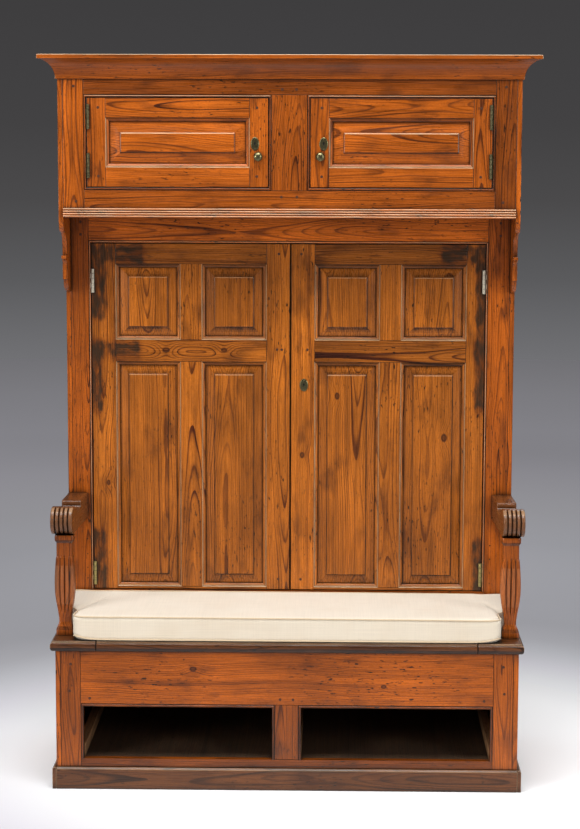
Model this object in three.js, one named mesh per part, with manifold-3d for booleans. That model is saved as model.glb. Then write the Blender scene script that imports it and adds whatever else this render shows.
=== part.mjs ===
// A panelled pine settle in millimetres, +Z up: a boxed seat with two open bays and a lifting lid, a tall
// two-door cupboard as its back, a hood with two small doors, scrolled arms on reeded posts and a cushion.
// X runs to the right as seen from the front, Y runs from the base's front face to the wall.
// Each pegged frame is one solid, because its mortises and pegs never come apart.

import * as THREE from "three";
import { mergeVertices } from "three/addons/utils/BufferGeometryUtils.js";
import Module from "manifold-3d";

const wasm = await Module();
wasm.setup();

// Fits
const fit = 0.3; // between pieces that touch
const overrun = 6; // how far a cutting solid passes the face it cuts
const weldTolerance = 0.0001;
const arcSteps = 7; // straight steps in each drawn curve

// Carcase
const carcaseWidth = 1430; // over the end boards
const carcaseDepth = 620; // base front to the back of the back boards
const endThickness = 15;
const backThickness = 12;
const backGrooveWidth = 6;
const backGrooveDepth = 3;
const backPlanks = 6;
const frameThickness = 22;
const shelfThickness = 14;
const dividerThickness = 18;

// Plinth
const plinthHeight = 69;
const plinthThickness = 12;
const plinthBevel = 5;

// Boxed seat
const sillTop = 96;
const bayHeight = 165;
const baseStileWidth = 62;
const baseMuntinWidth = 72;
const bayBeadWidth = 9;
const bayBeadProud = 3;
const baseFloorDrop = 6; // below the sill
const guideHeight = 38;
const guideWidth = 26;
const wellFloorRise = 3; // above the bays
const seatTop = 470;
const seatThickness = 32;
const seatDepth = 385; // base front to the faces of the tall doors
const seatNosing = 17; // past the base front
const seatSideNosing = 15;
const nosingFillet = 5;
const nosingStep = 7;
const nosingUndercut = 9;
const seatEndReach = 113; // how far each fixed end reaches in past its end board
const lidSideGap = 1.5;
const lidHingeSetback = 34; // hinge line ahead of the tall doors
const lidEdgeChamfer = 6;
const cleatWidth = 60;
const cleatThickness = 20;
const cleatInset = 160; // from the end of the lid
const cleatMargin = 24; // from the front rail and from the hinge line

// Tall cupboard
const doorwayBeadWidth = 7;
const doorwayBeadProud = 2;
const meetingLine = 2; // the doors meet a little off centre
const leftStileWidth = 57;
const rightStileWidth = 70;
const doorGap = 2;
const meetingGap = 4;
const doorHeadroom = 4; // from the cushion's top to the doors
const doorHeight = 1121;
const meetingStile = 87.5;
const doorMuntin = 92.5;
const leftHingeStile = 89;
const rightHingeStile = 71;
const doorTopRail = 77;
const doorUpperPanel = 218;
const doorLockRail = 95;
const doorFootRail = 20.5;
const headRailHeight = 90; // from the doors to the hood

// Panels and their grooves
const stickingWidth = 12.5;
const stickingDepth = 8;
const grooveSetback = 10;
const grooveDepth = 9;
const tongueThickness = 6;
const tongueSlack = 1; // the panel floats by this much in its groove
const fieldSetback = 1;
const fieldStep = 2;
const tallBevel = 32;
const hoodBevelShare = 0.29; // of the panel's height

// Hood
const hoodSetback = 206; // base front to the hood's face
const hoodSill = 85;
const hoodOpeningHeight = 293;
const hoodStileWidth = 65;
const hoodMuntinWidth = 110;
const cockBeadWidth = 8;
const cockBeadProud = 3;
const hoodDoorGap = 2;
const hoodDoorThickness = 20;
const hoodDoorStile = 70;
const hoodDoorRail = 72.5;
const hoodFloorRise = 8;
const hoodHeight = 425; // from its foot to the cornice
const reedCount = 4;
const reedHeight = 7.5;
const reedSetOut = 6; // thickness of the reeded strip behind its reeds

// Cornice
const corniceHeight = 74;
const corniceUpstand = 6; // above the hood's top board
const corniceReach = 56;
const corniceFoot = 6;
const corniceFootHeight = 9;
const corniceFillet = 13;
const corniceLip = 6;

// Shaped front edge of the end boards under the hood
const bracketRoundHeight = 46;
const bracketLedgeDrop = 122; // below the hood, like the next two
const bracketStepDrop = 199;
const bracketFootDrop = 242;
const bracketLedgeThickness = 11;
const bracketHollowHeight = 24;
const bracketRoundShare = 0.145; // of the way back from the hood's face to the doors, like the rest
const bracketLedgeShare = 0.335;
const bracketNeckShare = 0.5;
const bracketStepShare = 0.61;

// Arms and their posts
const armRise = 317; // seat to the arm's underside
const armInset = 47; // from the end board's inner face to the arm's
const armWidth = 62;
const armSplay = 11; // how much further out the arm stands at its scroll
const armThickness = 79;
const armStepDistance = 245; // base front to the step in the arm's top
const armStepFall = 18;
const armBead = 6;
const armHollowFall = 31;
const armHollowDistance = 172;
const scrollDistance = 88; // base front to the scroll's centre
const scrollDepth = 84;
const scrollHeight = 86;
const scrollSpread = 5; // the scroll's extra width, to its outer side
const postInset = 8; // from the end board's inner face to the post's centre line
const postDistance = 60; // base front to the post's face
const postFootWidth = 56;
const postWaistWidth = 38;
const postBellyWidth = 63;
const postBellyDepth = 48;
const postNeckWidth = 50;
const postRingWidth = 60;
const postFootHeight = 20; // above the seat, like the next two
const postWaistHeight = 40;
const postBellyHeight = 163;
const postNeckDrop = 62; // below the arm
const postRingHeight = 8;
const postReedFoot = 68;
const postReedCount = 4;
const fluteWidth = 3.2;
const fluteDepth = 3.5;
const fluteStartShare = 1.3; // where the scroll's flutes begin and end, in half turns from the back
const fluteEndShare = 0.6;

// Hinges, all of them butts
const hingeLength = 76;
const hingeBarrel = 9;
const hingeLeafThickness = 2;
const hingeSides = 12;
const tallHingeInset = 81; // from the top of a tall door to the hinge's near end
const tallLowerHingeInset = 14; // from its foot
const hoodHingeInset = 20;
const hoodLowerHingeInset = 27;
const lidHingeInset = 170;
const lidBarrel = 7;

// Locks, keyhole plates and knobs
const tallLockRise = 669; // door's foot to the keyhole
const hoodLockRise = 133;
const lockInset = 41; // from the door's edge to the keyhole
const boltHeight = 14;
const boltThickness = 8;
const boltLength = 34;
const boltTravel = 9;
const boltSetback = 7; // door face to the bolt
const boltShy = 1; // the drawn bolt stops this far inside the door's edge
const plateWidth = 26;
const plateHeight = 41;
const plateThickness = 2;
const keyholeWidth = 3.6;
const keyholeHeight = 13;
const knobInset = 31;
const knobRise = 94;
const knobDiameter = 28;
const knobReach = 25;
const knobSides = 20;
const knobShares = [ // radius as a share of the greatest one, and distance out as a share of the reach
  [0, 0], [0.72, 0], [0.72, 0.12], [0.36, 0.25], [0.36, 0.4], [0.85, 0.5], [1, 0.7], [0.8, 0.92], [0, 1],
];

// Cushion
const cushionThickness = 77; // with its crown
const cushionCrown = 3;
const cushionFront = -8;
const cushionBackGap = 6;
const cushionFrontInset = 40; // inside the end boards, in front of the arm posts
const cushionOverhang = 13; // outside them, behind the posts
const cushionCorner = 80;
const cushionBackCorner = 40;
const cushionDrawIn = 7;
const cushionBulge = 3;
const cushionRim = 9;
const cushionRingShares = [0, 0.12, 0.25, 0.45, 0.7]; // rings of the crown, from the edge to the middle
const cushionOutlinePoints = 80;

// Places worked out from the sizes above
const endOuter = carcaseWidth / 2;
const endInner = endOuter - endThickness;
const innerHalf = endInner - fit;
const backFace = carcaseDepth - backThickness;
const backStop = backFace - fit;
const bayTop = sillTop + bayHeight;
const bayOuter = endInner - baseStileWidth - bayBeadWidth;
const bayInner = baseMuntinWidth / 2 + bayBeadWidth;
const baseFloorTop = sillTop - baseFloorDrop;
const wellFloorUnder = bayTop + wellFloorRise;
const seatUnder = seatTop - seatThickness;
const hingeLine = seatDepth - lidHingeSetback;
const lidHalfWidth = endInner - seatEndReach;
const lidRear = hingeLine - lidSideGap / 2;
const seatRearFront = hingeLine + lidSideGap / 2;
const doorwayLeft = -(endInner - leftStileWidth - doorwayBeadWidth);
const doorwayRight = endInner - rightStileWidth - doorwayBeadWidth;
const doorBottom = seatTop + cushionThickness + doorHeadroom;
const doorTop = doorBottom + doorHeight;
const hoodUnder = doorTop + headRailHeight;
const corniceUnder = hoodUnder + hoodHeight;
const corniceTop = corniceUnder + corniceHeight;
const hoodTop = corniceTop - corniceUpstand;
const hoodFloorUnder = hoodUnder + hoodFloorRise;
const hoodOpeningFoot = hoodUnder + hoodSill;
const hoodOpeningTop = hoodOpeningFoot + hoodOpeningHeight;
const hoodOpeningOuter = endInner - hoodStileWidth;
const hoodOpeningInner = hoodMuntinWidth / 2;
const hoodDoorFoot = hoodOpeningFoot + cockBeadWidth + hoodDoorGap;
const hoodDoorHead = hoodOpeningTop - cockBeadWidth - hoodDoorGap;
const hoodDoorOuter = hoodOpeningOuter - cockBeadWidth - hoodDoorGap;
const hoodDoorInner = hoodOpeningInner + cockBeadWidth + hoodDoorGap;
const armUnder = seatTop + armRise;
const armTop = armUnder + armThickness;
const armInner = endInner - armInset;
const postCentre = endInner - postInset;
const cushionFrontHalf = endInner - cushionFrontInset;
const cushionWaistHalf = postCentre - postFootWidth / 2;
const cushionWaistDistance = postDistance + postBellyDepth;
const cushionBackHalf = endOuter + cushionOverhang;
const midDepth = (carcaseDepth - seatNosing) / 2;
const dividerHalf = dividerThickness / 2;
const behindFrame = [frameThickness + fit, backStop];

// Finishes
const finish = (color, roughness, metalness) => new THREE.MeshStandardMaterial({ color, roughness, metalness });
const pine = () => finish("#a5591f", 0.45, 0);
const goldenPine = () => finish("#b3692a", 0.45, 0);
const darkPine = () => finish("#5b3320", 0.5, 0);
const rawPine = () => finish("#6b4a32", 0.8, 0);
const brass = () => finish("#8f8a5a", 0.4, 1);
const steel = () => finish("#b9b5a4", 0.45, 1);
const canvas = () => finish("#efe6d3", 0.95, 0);

// A closed mesh as a solid that can be joined and cut.
function solidOf(geometry) {
  const loose = geometry.index ? geometry.toNonIndexed() : geometry;
  const bare = new THREE.BufferGeometry();
  bare.setAttribute("position", loose.getAttribute("position"));
  const welded = mergeVertices(bare, weldTolerance);
  const vertProperties = welded.getAttribute("position").array;
  const triVerts = new Uint32Array(welded.index.array);
  return new wasm.Manifold(new wasm.Mesh({ numProp: 3, vertProperties, triVerts }));
}

function geometryOf(made) {
  const mesh = made.getMesh();
  const geometry = new THREE.BufferGeometry();
  geometry.setAttribute("position", new THREE.BufferAttribute(mesh.vertProperties, 3));
  geometry.setIndex(new THREE.BufferAttribute(mesh.triVerts, 1));
  geometry.computeVertexNormals();
  return geometry;
}

const joined = (solids) => solids.reduce((whole, piece) => whole.add(piece));
const cut = (whole, tools) => tools.reduce((rest, tool) => rest.subtract(tool), whole);
const middle = ([low, high]) => (low + high) / 2;
const length = ([low, high]) => high - low;
const range = (a, b) => [Math.min(a, b), Math.max(a, b)];
const grown = ([low, high], by) => [low - by, high + by];

// A square block from its limits along X, Y and Z.
function block(x, y, z) {
  const box = new THREE.BoxGeometry(length(x), length(y), length(z));
  box.translate(middle(x), middle(y), middle(z));
  return solidOf(box);
}

const xAxis = new THREE.Vector3(1, 0, 0);
const yAxis = new THREE.Vector3(0, 1, 0);
const zAxis = new THREE.Vector3(0, 0, 1);

function extruded(shape, depth) {
  return new THREE.ExtrudeGeometry(shape, { depth, bevelEnabled: false, curveSegments: arcSteps });
}

// A section drawn in depth and height, run along X.
function alongX(shape, x) {
  const run = extruded(shape, length(x));
  run.applyMatrix4(new THREE.Matrix4().makeBasis(yAxis, zAxis, xAxis));
  return solidOf(run.translate(x[0], 0, 0));
}

// A section drawn in width and height, run along Y.
function alongY(shape, y) {
  const run = extruded(shape, length(y));
  run.applyMatrix4(new THREE.Matrix4().makeBasis(xAxis, zAxis, yAxis.clone().negate()));
  return solidOf(run.translate(0, y[1], 0));
}

const outline = (points) => new THREE.Shape(points.map(([u, v]) => new THREE.Vector2(u, v)));

// A closed skin over rings of like points, its two ends filled as the flat outline says.
function skin(rings, flat) {
  const count = flat.length;
  const positions = rings.flat().flatMap((point) => point.toArray());
  const faces = [];
  for (let ring = 0; ring + 1 < rings.length; ring += 1) {
    for (let i = 0; i < count; i += 1) {
      const j = (i + 1) % count;
      const near = ring * count;
      const far = near + count;
      faces.push(near + i, near + j, far + j, near + i, far + j, far + i);
    }
  }
  const last = (rings.length - 1) * count;
  for (const [a, b, c] of THREE.ShapeUtils.triangulateShape(flat, [])) {
    faces.push(a, c, b, last + a, last + b, last + c);
  }
  const geometry = new THREE.BufferGeometry();
  geometry.setAttribute("position", new THREE.Float32BufferAttribute(positions, 3));
  geometry.setIndex(faces);
  const made = solidOf(geometry);
  if (made.volume() > 0) return made;
  geometry.setIndex(faces.reverse());
  return solidOf(geometry);
}

const corners = ([x0, x1], [z0, z1]) => [[x0, z0], [x1, z0], [x1, z1], [x0, z1]];

// A four-sided taper along Y, from one rectangle in X and Z to another.
function taper(near, far, [nearY, farY]) {
  const flat = corners(near.x, near.z).map(([x, z]) => new THREE.Vector2(x, z));
  const ring = ({ x, z }, y) => corners(x, z).map(([u, v]) => new THREE.Vector3(u, y, v));
  return skin([ring(near, nearY), ring(far, farY)], flat);
}

// The settle, with the floor under its middle as the origin.
const settle = new THREE.Group();
const stand = new THREE.Group();
stand.position.y = -midDepth;
settle.add(stand);

function assembly() {
  const group = new THREE.Group();
  stand.add(group);
  return group;
}

function place(group, name, made, material, position = [0, 0, 0]) {
  const mesh = new THREE.Mesh(made.isBufferGeometry ? made : geometryOf(made), material);
  mesh.name = name;
  mesh.position.set(...position);
  group.add(mesh);
  return mesh;
}

// A piece drawn for the right-hand side, and its mirror image on the left.
function placePair(group, name, made, material) {
  const geometry = made.isBufferGeometry ? made : geometryOf(made);
  place(group, `${name}_right`, geometry, material());
  place(group, `${name}_left`, geometry, material()).scale.x = -1;
}

// End boards: one plank a side from the floor to the cornice, its front edge shaped under the hood.
function endBoard() {
  const back = (share) => hoodSetback + share * (seatDepth - hoodSetback);
  const neck = back(bracketNeckShare);
  const ledge = back(bracketLedgeShare);
  const step = back(bracketStepShare);
  const roundFoot = hoodUnder - bracketRoundHeight;
  const ledgeTop = hoodUnder - bracketLedgeDrop;
  const ledgeUnder = ledgeTop - bracketLedgeThickness;
  const stepHeight = hoodUnder - bracketStepDrop;
  const edge = new THREE.Shape();
  edge.moveTo(0, 0);
  edge.lineTo(carcaseDepth, 0);
  edge.lineTo(carcaseDepth, hoodTop);
  edge.lineTo(hoodSetback, hoodTop);
  edge.lineTo(hoodSetback, hoodUnder);
  edge.quadraticCurveTo(hoodSetback, roundFoot, back(bracketRoundShare), roundFoot);
  edge.quadraticCurveTo(neck, roundFoot, neck, ledgeTop);
  edge.lineTo(ledge, ledgeTop);
  edge.lineTo(ledge, ledgeUnder);
  edge.quadraticCurveTo(neck, ledgeUnder, neck, ledgeUnder - bracketHollowHeight);
  edge.lineTo(neck, stepHeight);
  edge.lineTo(step, stepHeight);
  edge.quadraticCurveTo(step, hoodUnder - bracketFootDrop, seatDepth, hoodUnder - bracketFootDrop);
  edge.lineTo(seatDepth, seatUnder - fit);
  edge.lineTo(0, seatUnder - fit);
  return alongX(edge, [endInner, endOuter]);
}

// Planks side by side, marked by shallow grooves.
function backBoards() {
  const tools = [];
  for (let plank = 1; plank < backPlanks; plank += 1) {
    const x = -innerHalf + (plank * 2 * innerHalf) / backPlanks;
    tools.push(block(
      grown([x, x], backGrooveWidth / 2),
      [carcaseDepth - backGrooveDepth, carcaseDepth + overrun],
      [-overrun, hoodTop + overrun],
    ));
  }
  return cut(block([-innerHalf, innerHalf], [backFace, carcaseDepth], [0, hoodTop]), tools);
}

const carcase = assembly();
placePair(carcase, "end_board", endBoard(), pine);
place(carcase, "back_boards", backBoards(), rawPine());

// Plinth: the side boards run through, and their end grain shows at the front corners.
const plinthSection = (face, outward) => outline([
  [face, 0],
  [face + outward * plinthThickness, 0],
  [face + outward * plinthThickness, plinthHeight - plinthBevel],
  [face + outward * (plinthThickness - plinthBevel), plinthHeight],
  [face, plinthHeight],
]);

const plinthSide = alongY(plinthSection(endOuter + fit, 1), [-plinthThickness, carcaseDepth]);
placePair(carcase, "plinth", plinthSide, darkPine);
place(carcase, "plinth_front", alongX(plinthSection(-fit, -1), [-endOuter, endOuter]), darkPine());

// Base: front frame with two bays, floor with its guides and divider, and the floor of the well.
const bays = [-1, 1].map((side) => range(side * bayInner, side * bayOuter));

function baseFrame() {
  const beads = bays.map((x) => block(
    grown(x, bayBeadWidth),
    [-bayBeadProud, frameThickness / 2],
    [sillTop, bayTop + bayBeadWidth],
  ));
  const whole = joined([
    block([-innerHalf, innerHalf], [0, frameThickness], [0, seatUnder - fit]),
    ...beads,
  ]);
  const deep = [-bayBeadProud - overrun, frameThickness + overrun];
  return cut(whole, bays.map((x) => block(x, deep, [sillTop, bayTop])));
}

function baseFloor() {
  const deep = behindFrame;
  const high = [baseFloorTop - fit, baseFloorTop + guideHeight];
  const centreGuide = [dividerHalf - fit, bayInner];
  const outerGuide = [bayOuter, bayOuter + guideWidth];
  const guides = [-1, 1].flatMap((side) => [centreGuide, outerGuide].map(([near, far]) => (
    block(range(side * near, side * far), deep, high)
  )));
  const deck = block([-innerHalf, innerHalf], deep, [baseFloorTop - shelfThickness, baseFloorTop]);
  const divider = block([-dividerHalf, dividerHalf], deep, [baseFloorTop - fit, wellFloorUnder - fit]);
  return joined([deck, divider, ...guides]);
}

const base = assembly();
place(base, "base_frame", baseFrame(), pine());
place(base, "base_floor", baseFloor(), rawPine());
place(base, "well_floor", block(
  [-innerHalf, innerHalf],
  behindFrame,
  [wellFloorUnder, wellFloorUnder + shelfThickness],
), rawPine());

// Seat edge: a fillet over a rounded nosing that runs back under itself.
function nosing(shape, edge, inward) {
  const step = edge + inward * nosingStep;
  const under = edge + inward * nosingUndercut;
  shape.lineTo(step, seatTop);
  shape.lineTo(step, seatTop - nosingFillet);
  shape.quadraticCurveTo(edge, seatTop - nosingFillet, edge, middle([seatTop, seatUnder]));
  shape.quadraticCurveTo(edge, seatUnder, under, seatUnder);
}

function seatSection(rear) {
  const section = new THREE.Shape();
  section.moveTo(rear, seatUnder);
  section.lineTo(rear, seatTop);
  nosing(section, -seatNosing, 1);
  return section;
}

function sideSection() {
  const section = new THREE.Shape();
  section.moveTo(lidHalfWidth + lidSideGap, seatUnder);
  section.lineTo(lidHalfWidth + lidSideGap, seatTop);
  nosing(section, endOuter + seatSideNosing, -1);
  return section;
}

// Fixed end of the seat: its nosing turns the corner and runs back to the end board's front edge.
function seatEnd() {
  const outer = endOuter + seatSideNosing;
  const rear = seatDepth - fit;
  const turned = alongX(seatSection(rear), [0, outer]).intersect(alongY(sideSection(), [-seatNosing, rear]));
  const notch = block([0, innerHalf + fit], [seatRearFront - fit, rear + overrun], [0, seatTop + overrun]);
  return turned.subtract(notch);
}

// The hinge edge is chamfered on both sides, so the lid can rise past the strip behind it.
function hingeChamfer(edge, inward) {
  return alongX(outline([
    [edge - inward * overrun, seatTop + overrun],
    [edge - inward * overrun, seatTop - lidEdgeChamfer - overrun],
    [edge, seatTop - lidEdgeChamfer],
    [edge + inward * lidEdgeChamfer, seatTop],
    [edge + inward * (lidEdgeChamfer + overrun), seatTop + overrun],
  ]), [-carcaseWidth, carcaseWidth]);
}

const lidHingeCentre = lidHalfWidth - lidHingeInset - hingeLength / 2;
const lidHingeAxis = seatTop - lidBarrel / 2 - fit;
const lidLeafHeight = seatThickness * 2 / 3;

function seatRear() {
  const strip = block(
    [-innerHalf, innerHalf],
    [seatRearFront, seatDepth + frameThickness],
    [seatUnder, seatTop],
  );
  const recesses = [-1, 1].map((side) => block(
    grown([side * lidHingeCentre, side * lidHingeCentre], hingeLength / 2 + fit),
    [seatRearFront - overrun, seatRearFront + hingeLeafThickness + fit],
    [lidHingeAxis - lidLeafHeight - fit, seatTop + overrun],
  ));
  const barrels = [-1, 1].map((side) => block(
    grown([side * lidHingeCentre, side * lidHingeCentre], hingeLength / 2 + fit),
    [seatRearFront - overrun, hingeLine + lidBarrel / 2 + fit],
    [lidHingeAxis - lidBarrel / 2 - fit, seatTop + overrun],
  ));
  return cut(strip, [hingeChamfer(seatRearFront, 1), ...recesses, ...barrels]);
}

function seatLid() {
  const board = alongX(seatSection(lidRear), [-lidHalfWidth, lidHalfWidth]);
  const cleats = [-1, 1].map((side) => block(
    range(side * (lidHalfWidth - cleatInset), side * (lidHalfWidth - cleatInset - cleatWidth)),
    [frameThickness + cleatMargin, hingeLine - cleatMargin],
    [seatUnder - cleatThickness, seatUnder + nosingFillet],
  ));
  const barrels = [-1, 1].map((side) => block(
    grown([side * lidHingeCentre, side * lidHingeCentre], hingeLength / 2 + fit),
    [lidRear - lidBarrel / 2, lidRear + overrun],
    [lidHingeAxis - lidBarrel, seatTop + overrun],
  ));
  return cut(joined([board, ...cleats]), [hingeChamfer(lidRear, -1), ...barrels]);
}

function lidHinge() {
  const pin = new THREE.CylinderGeometry(lidBarrel / 2, lidBarrel / 2, hingeLength, hingeSides);
  pin.rotateZ(Math.PI / 2).translate(0, hingeLine, lidHingeAxis);
  const leaf = block(
    [-hingeLength / 2, hingeLength / 2],
    [seatRearFront, seatRearFront + hingeLeafThickness],
    [lidHingeAxis - lidLeafHeight, lidHingeAxis],
  );
  return joined([solidOf(pin), leaf]);
}

const seat = assembly();
placePair(seat, "seat_end", seatEnd(), darkPine);
place(seat, "seat_rear", seatRear(), darkPine());
place(seat, "seat_lid", seatLid(), darkPine());
for (const [name, side] of [["left", -1], ["right", 1]]) {
  place(seat, `lid_hinge_${name}`, lidHinge(), steel(), [side * lidHingeCentre, 0, 0]);
}

// Butt hinges: the fixed leaf lies in the edge of the opening, and the barrel stands in front of the face.
const barrelSetOut = hingeBarrel / 2 + fit;
const hingeAxisX = (edge, outward, gap) => edge - outward * (gap + hingeBarrel / 2);

// Limits of a fixed leaf at an opening's edge; outward points from the door into the stile.
function leafLimits(edge, outward, face, depth, allowance) {
  return [
    range(edge - outward * overrun * Math.sign(allowance), edge + outward * (hingeLeafThickness + allowance)),
    [face - overrun * Math.sign(allowance), face + depth + allowance],
  ];
}

function buttHinge(edge, outward, gap, face, depth) {
  const axis = hingeAxisX(edge, outward, gap);
  const [leafAcross] = leafLimits(edge, outward, face, depth, 0);
  const along = [-hingeLength / 2, hingeLength / 2];
  const front = [face - fit - hingeLeafThickness, face - fit];
  const pin = new THREE.CylinderGeometry(hingeBarrel / 2, hingeBarrel / 2, hingeLength, hingeSides);
  pin.rotateX(Math.PI / 2).translate(axis, face - barrelSetOut, 0);
  const web = block(range(axis, edge + outward * hingeLeafThickness), front, along);
  const leaf = block(leafAcross, [front[0], face + depth], along);
  return joined([solidOf(pin), web, leaf]);
}

function hingeRecess(edge, outward, face, depth, height) {
  const [x, y] = leafLimits(edge, outward, face, depth, fit);
  return block(x, y, grown([height, height], hingeLength / 2 + fit));
}

const tallHingeHeights = [
  doorTop - tallHingeInset - hingeLength / 2,
  doorBottom + tallLowerHingeInset + hingeLength / 2,
];
const hoodHingeHeights = [
  hoodDoorHead - hoodHingeInset - hingeLength / 2,
  hoodDoorFoot + hoodLowerHingeInset + hingeLength / 2,
];
const tallLeafDepth = frameThickness * 3 / 4;
const hoodLeafDepth = hoodDoorThickness * 3 / 4;

// Back frame: the doorway of the tall cupboard, with a bead round its head and sides.
function backFrame() {
  const face = [seatDepth, seatDepth + frameThickness];
  const whole = block([-innerHalf, innerHalf], face, [seatTop + fit, hoodFloorUnder - fit]);
  const doorwayTop = doorTop + doorGap;
  const doorway = block([doorwayLeft, doorwayRight], grown(face, overrun), [doorBottom - doorGap, doorwayTop]);
  const bead = block(
    grown([doorwayLeft, doorwayRight], doorwayBeadWidth),
    [seatDepth - doorwayBeadProud, seatDepth + frameThickness / 2],
    [doorBottom - doorGap, doorwayTop + doorwayBeadWidth],
  );
  const recesses = tallHingeHeights.flatMap((height) => [
    hingeRecess(doorwayLeft, -1, seatDepth, tallLeafDepth, height),
    hingeRecess(doorwayRight, 1, seatDepth, tallLeafDepth, height),
  ]);
  return cut(joined([whole, bead]), [doorway, ...recesses]);
}

const cupboard = assembly();
place(cupboard, "back_frame", backFrame(), pine());
place(cupboard, "cupboard_floor", block(
  [-innerHalf, innerHalf],
  [seatDepth + frameThickness + fit, backStop],
  [seatTop - shelfThickness, seatTop],
), rawPine());

// A door frame: a board with moulded openings, each grooved for its panel. An opening has limits in X and Z.
function panelledFrame(x, [face, back], z, openings) {
  const grooveFront = face + grooveSetback;
  const tools = openings.flatMap((opening) => {
    const wide = { x: grown(opening.x, 2 * stickingWidth), z: grown(opening.z, 2 * stickingWidth) };
    return [
      block(opening.x, [face - overrun, back + overrun], opening.z),
      taper(wide, opening, [face - stickingDepth, face + stickingDepth]),
      block(
        grown(opening.x, grooveDepth),
        [grooveFront - fit, grooveFront + tongueThickness + fit],
        grown(opening.z, grooveDepth),
      ),
    ];
  });
  return cut(block(x, [face, back], z), tools);
}

// A fielded panel about its own middle: a tongue all round, a sloping margin and a stepped field.
function fieldedPanel(opening, bevel) {
  const halves = { x: length(opening.x) / 2, z: length(opening.z) / 2 };
  const limits = (by) => ({
    x: [-halves.x - by, halves.x + by],
    z: [-halves.z - by, halves.z + by],
  });
  const field = limits(-bevel);
  const tongue = limits(grooveDepth - tongueSlack);
  return joined([
    block(tongue.x, [grooveSetback, grooveSetback + tongueThickness], tongue.z),
    taper(field, limits(-fit), [fieldSetback + fieldStep, grooveSetback + fit]),
    block(field.x, [fieldSetback, grooveSetback], field.z),
  ]);
}

function placePanels(group, names, openings, face, bevel) {
  openings.forEach((opening, i) => {
    place(group, names[i], fieldedPanel(opening, bevel), goldenPine(), [
      middle(opening.x), face, middle(opening.z),
    ]);
  });
}

// The bolt's slot runs in from a door's edge; the keeper is the slot that the bolt shoots into.
function boltSlot(edge, inward, face, height) {
  return block(
    range(edge - inward * overrun, edge + inward * (boltShy + boltLength + fit)),
    grown([face + boltSetback, face + boltSetback + boltThickness], fit),
    grown([height, height], boltHeight / 2 + fit),
  );
}

function keeper(edge, outward, gap, face, height) {
  const reach = boltTravel + fit - boltShy - gap;
  return block(
    range(edge - outward * overrun, edge + outward * Math.max(reach, fit)),
    grown([face + boltSetback, face + boltSetback + boltThickness], fit),
    grown([height, height], boltHeight / 2 + fit),
  );
}

function lockBolt() {
  return block([-boltLength / 2, boltLength / 2], [0, boltThickness], [-boltHeight / 2, boltHeight / 2]);
}

function boltPlace(edge, inward, face, height) {
  return [edge + inward * (boltShy + boltLength / 2), face + boltSetback, height];
}

// Oval keyhole plate about its own middle, its back on the door's face.
function keyholePlate() {
  const plate = new THREE.Shape();
  plate.absellipse(0, 0, plateWidth / 2, plateHeight / 2, 0, 2 * Math.PI);
  const slot = outline(corners(
    [-keyholeWidth / 2, keyholeWidth / 2],
    [-keyholeHeight / 2, keyholeHeight / 2],
  ));
  const deep = [-plateThickness, 0];
  return cut(alongY(plate, deep), [alongY(slot, grown(deep, overrun))]);
}

// Tall doors, each with two short panels over two long ones.
const tallDoors = {
  left: {
    inward: -1,
    meeting: meetingLine - meetingGap / 2,
    edge: doorwayLeft,
    hingeStile: leftHingeStile,
  },
  right: {
    inward: 1,
    meeting: meetingLine + meetingGap / 2,
    edge: doorwayRight,
    hingeStile: rightHingeStile,
  },
};
const tallLockHeight = doorBottom + tallLockRise;
const hoodLockHeight = hoodDoorFoot + hoodLockRise;

function tallPanelOpenings({ inward, meeting, edge, hingeStile }) {
  const inner = meeting + inward * meetingStile;
  const outer = edge - inward * (doorGap + hingeStile);
  const centre = middle([inner, outer]);
  const columns = [
    range(inner, centre - (inward * doorMuntin) / 2),
    range(centre + (inward * doorMuntin) / 2, outer),
  ];
  const upperTop = doorTop - doorTopRail;
  const lowerTop = upperTop - doorUpperPanel - doorLockRail;
  const rows = [[upperTop - doorUpperPanel, upperTop], [doorBottom + doorFootRail, lowerTop]];
  return rows.flatMap((z) => columns.map((x) => ({ x, z })));
}

for (const [side, door] of Object.entries(tallDoors)) {
  const group = assembly();
  const openings = tallPanelOpenings(door);
  const slot = side === "right"
    ? boltSlot(door.meeting, 1, seatDepth, tallLockHeight)
    : keeper(door.meeting, -1, meetingGap, seatDepth, tallLockHeight);
  const frame = panelledFrame(
    range(door.meeting, door.edge - door.inward * doorGap),
    [seatDepth, seatDepth + frameThickness],
    [doorBottom, doorTop],
    openings,
  );
  place(group, `tall_door_${side}`, frame.subtract(slot), goldenPine());
  const names = ["upper_inner", "upper_outer", "lower_inner", "lower_outer"];
  placePanels(group, names.map((name) => `panel_${side}_${name}`), openings, seatDepth, tallBevel);
  tallHingeHeights.forEach((height, i) => {
    const hinge = buttHinge(door.edge, door.inward, doorGap, seatDepth, tallLeafDepth);
    place(cupboard, `tall_hinge_${side}_${["upper", "lower"][i]}`, hinge, steel(), [0, 0, height]);
  });
  if (side === "right") {
    const boltAt = boltPlace(door.meeting, 1, seatDepth, tallLockHeight);
    place(group, "tall_lock_bolt", lockBolt(), steel(), boltAt);
    place(group, "tall_keyhole_plate", keyholePlate(), brass(), [
      door.meeting + lockInset, seatDepth - fit, tallLockHeight,
    ]);
  }
}

// Hood: face frame with cock beads, floor, top and divider, and a reeded strip along its foot.
const hoodOpenings = [-1, 1].map((side) => range(side * hoodOpeningInner, side * hoodOpeningOuter));

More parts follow.
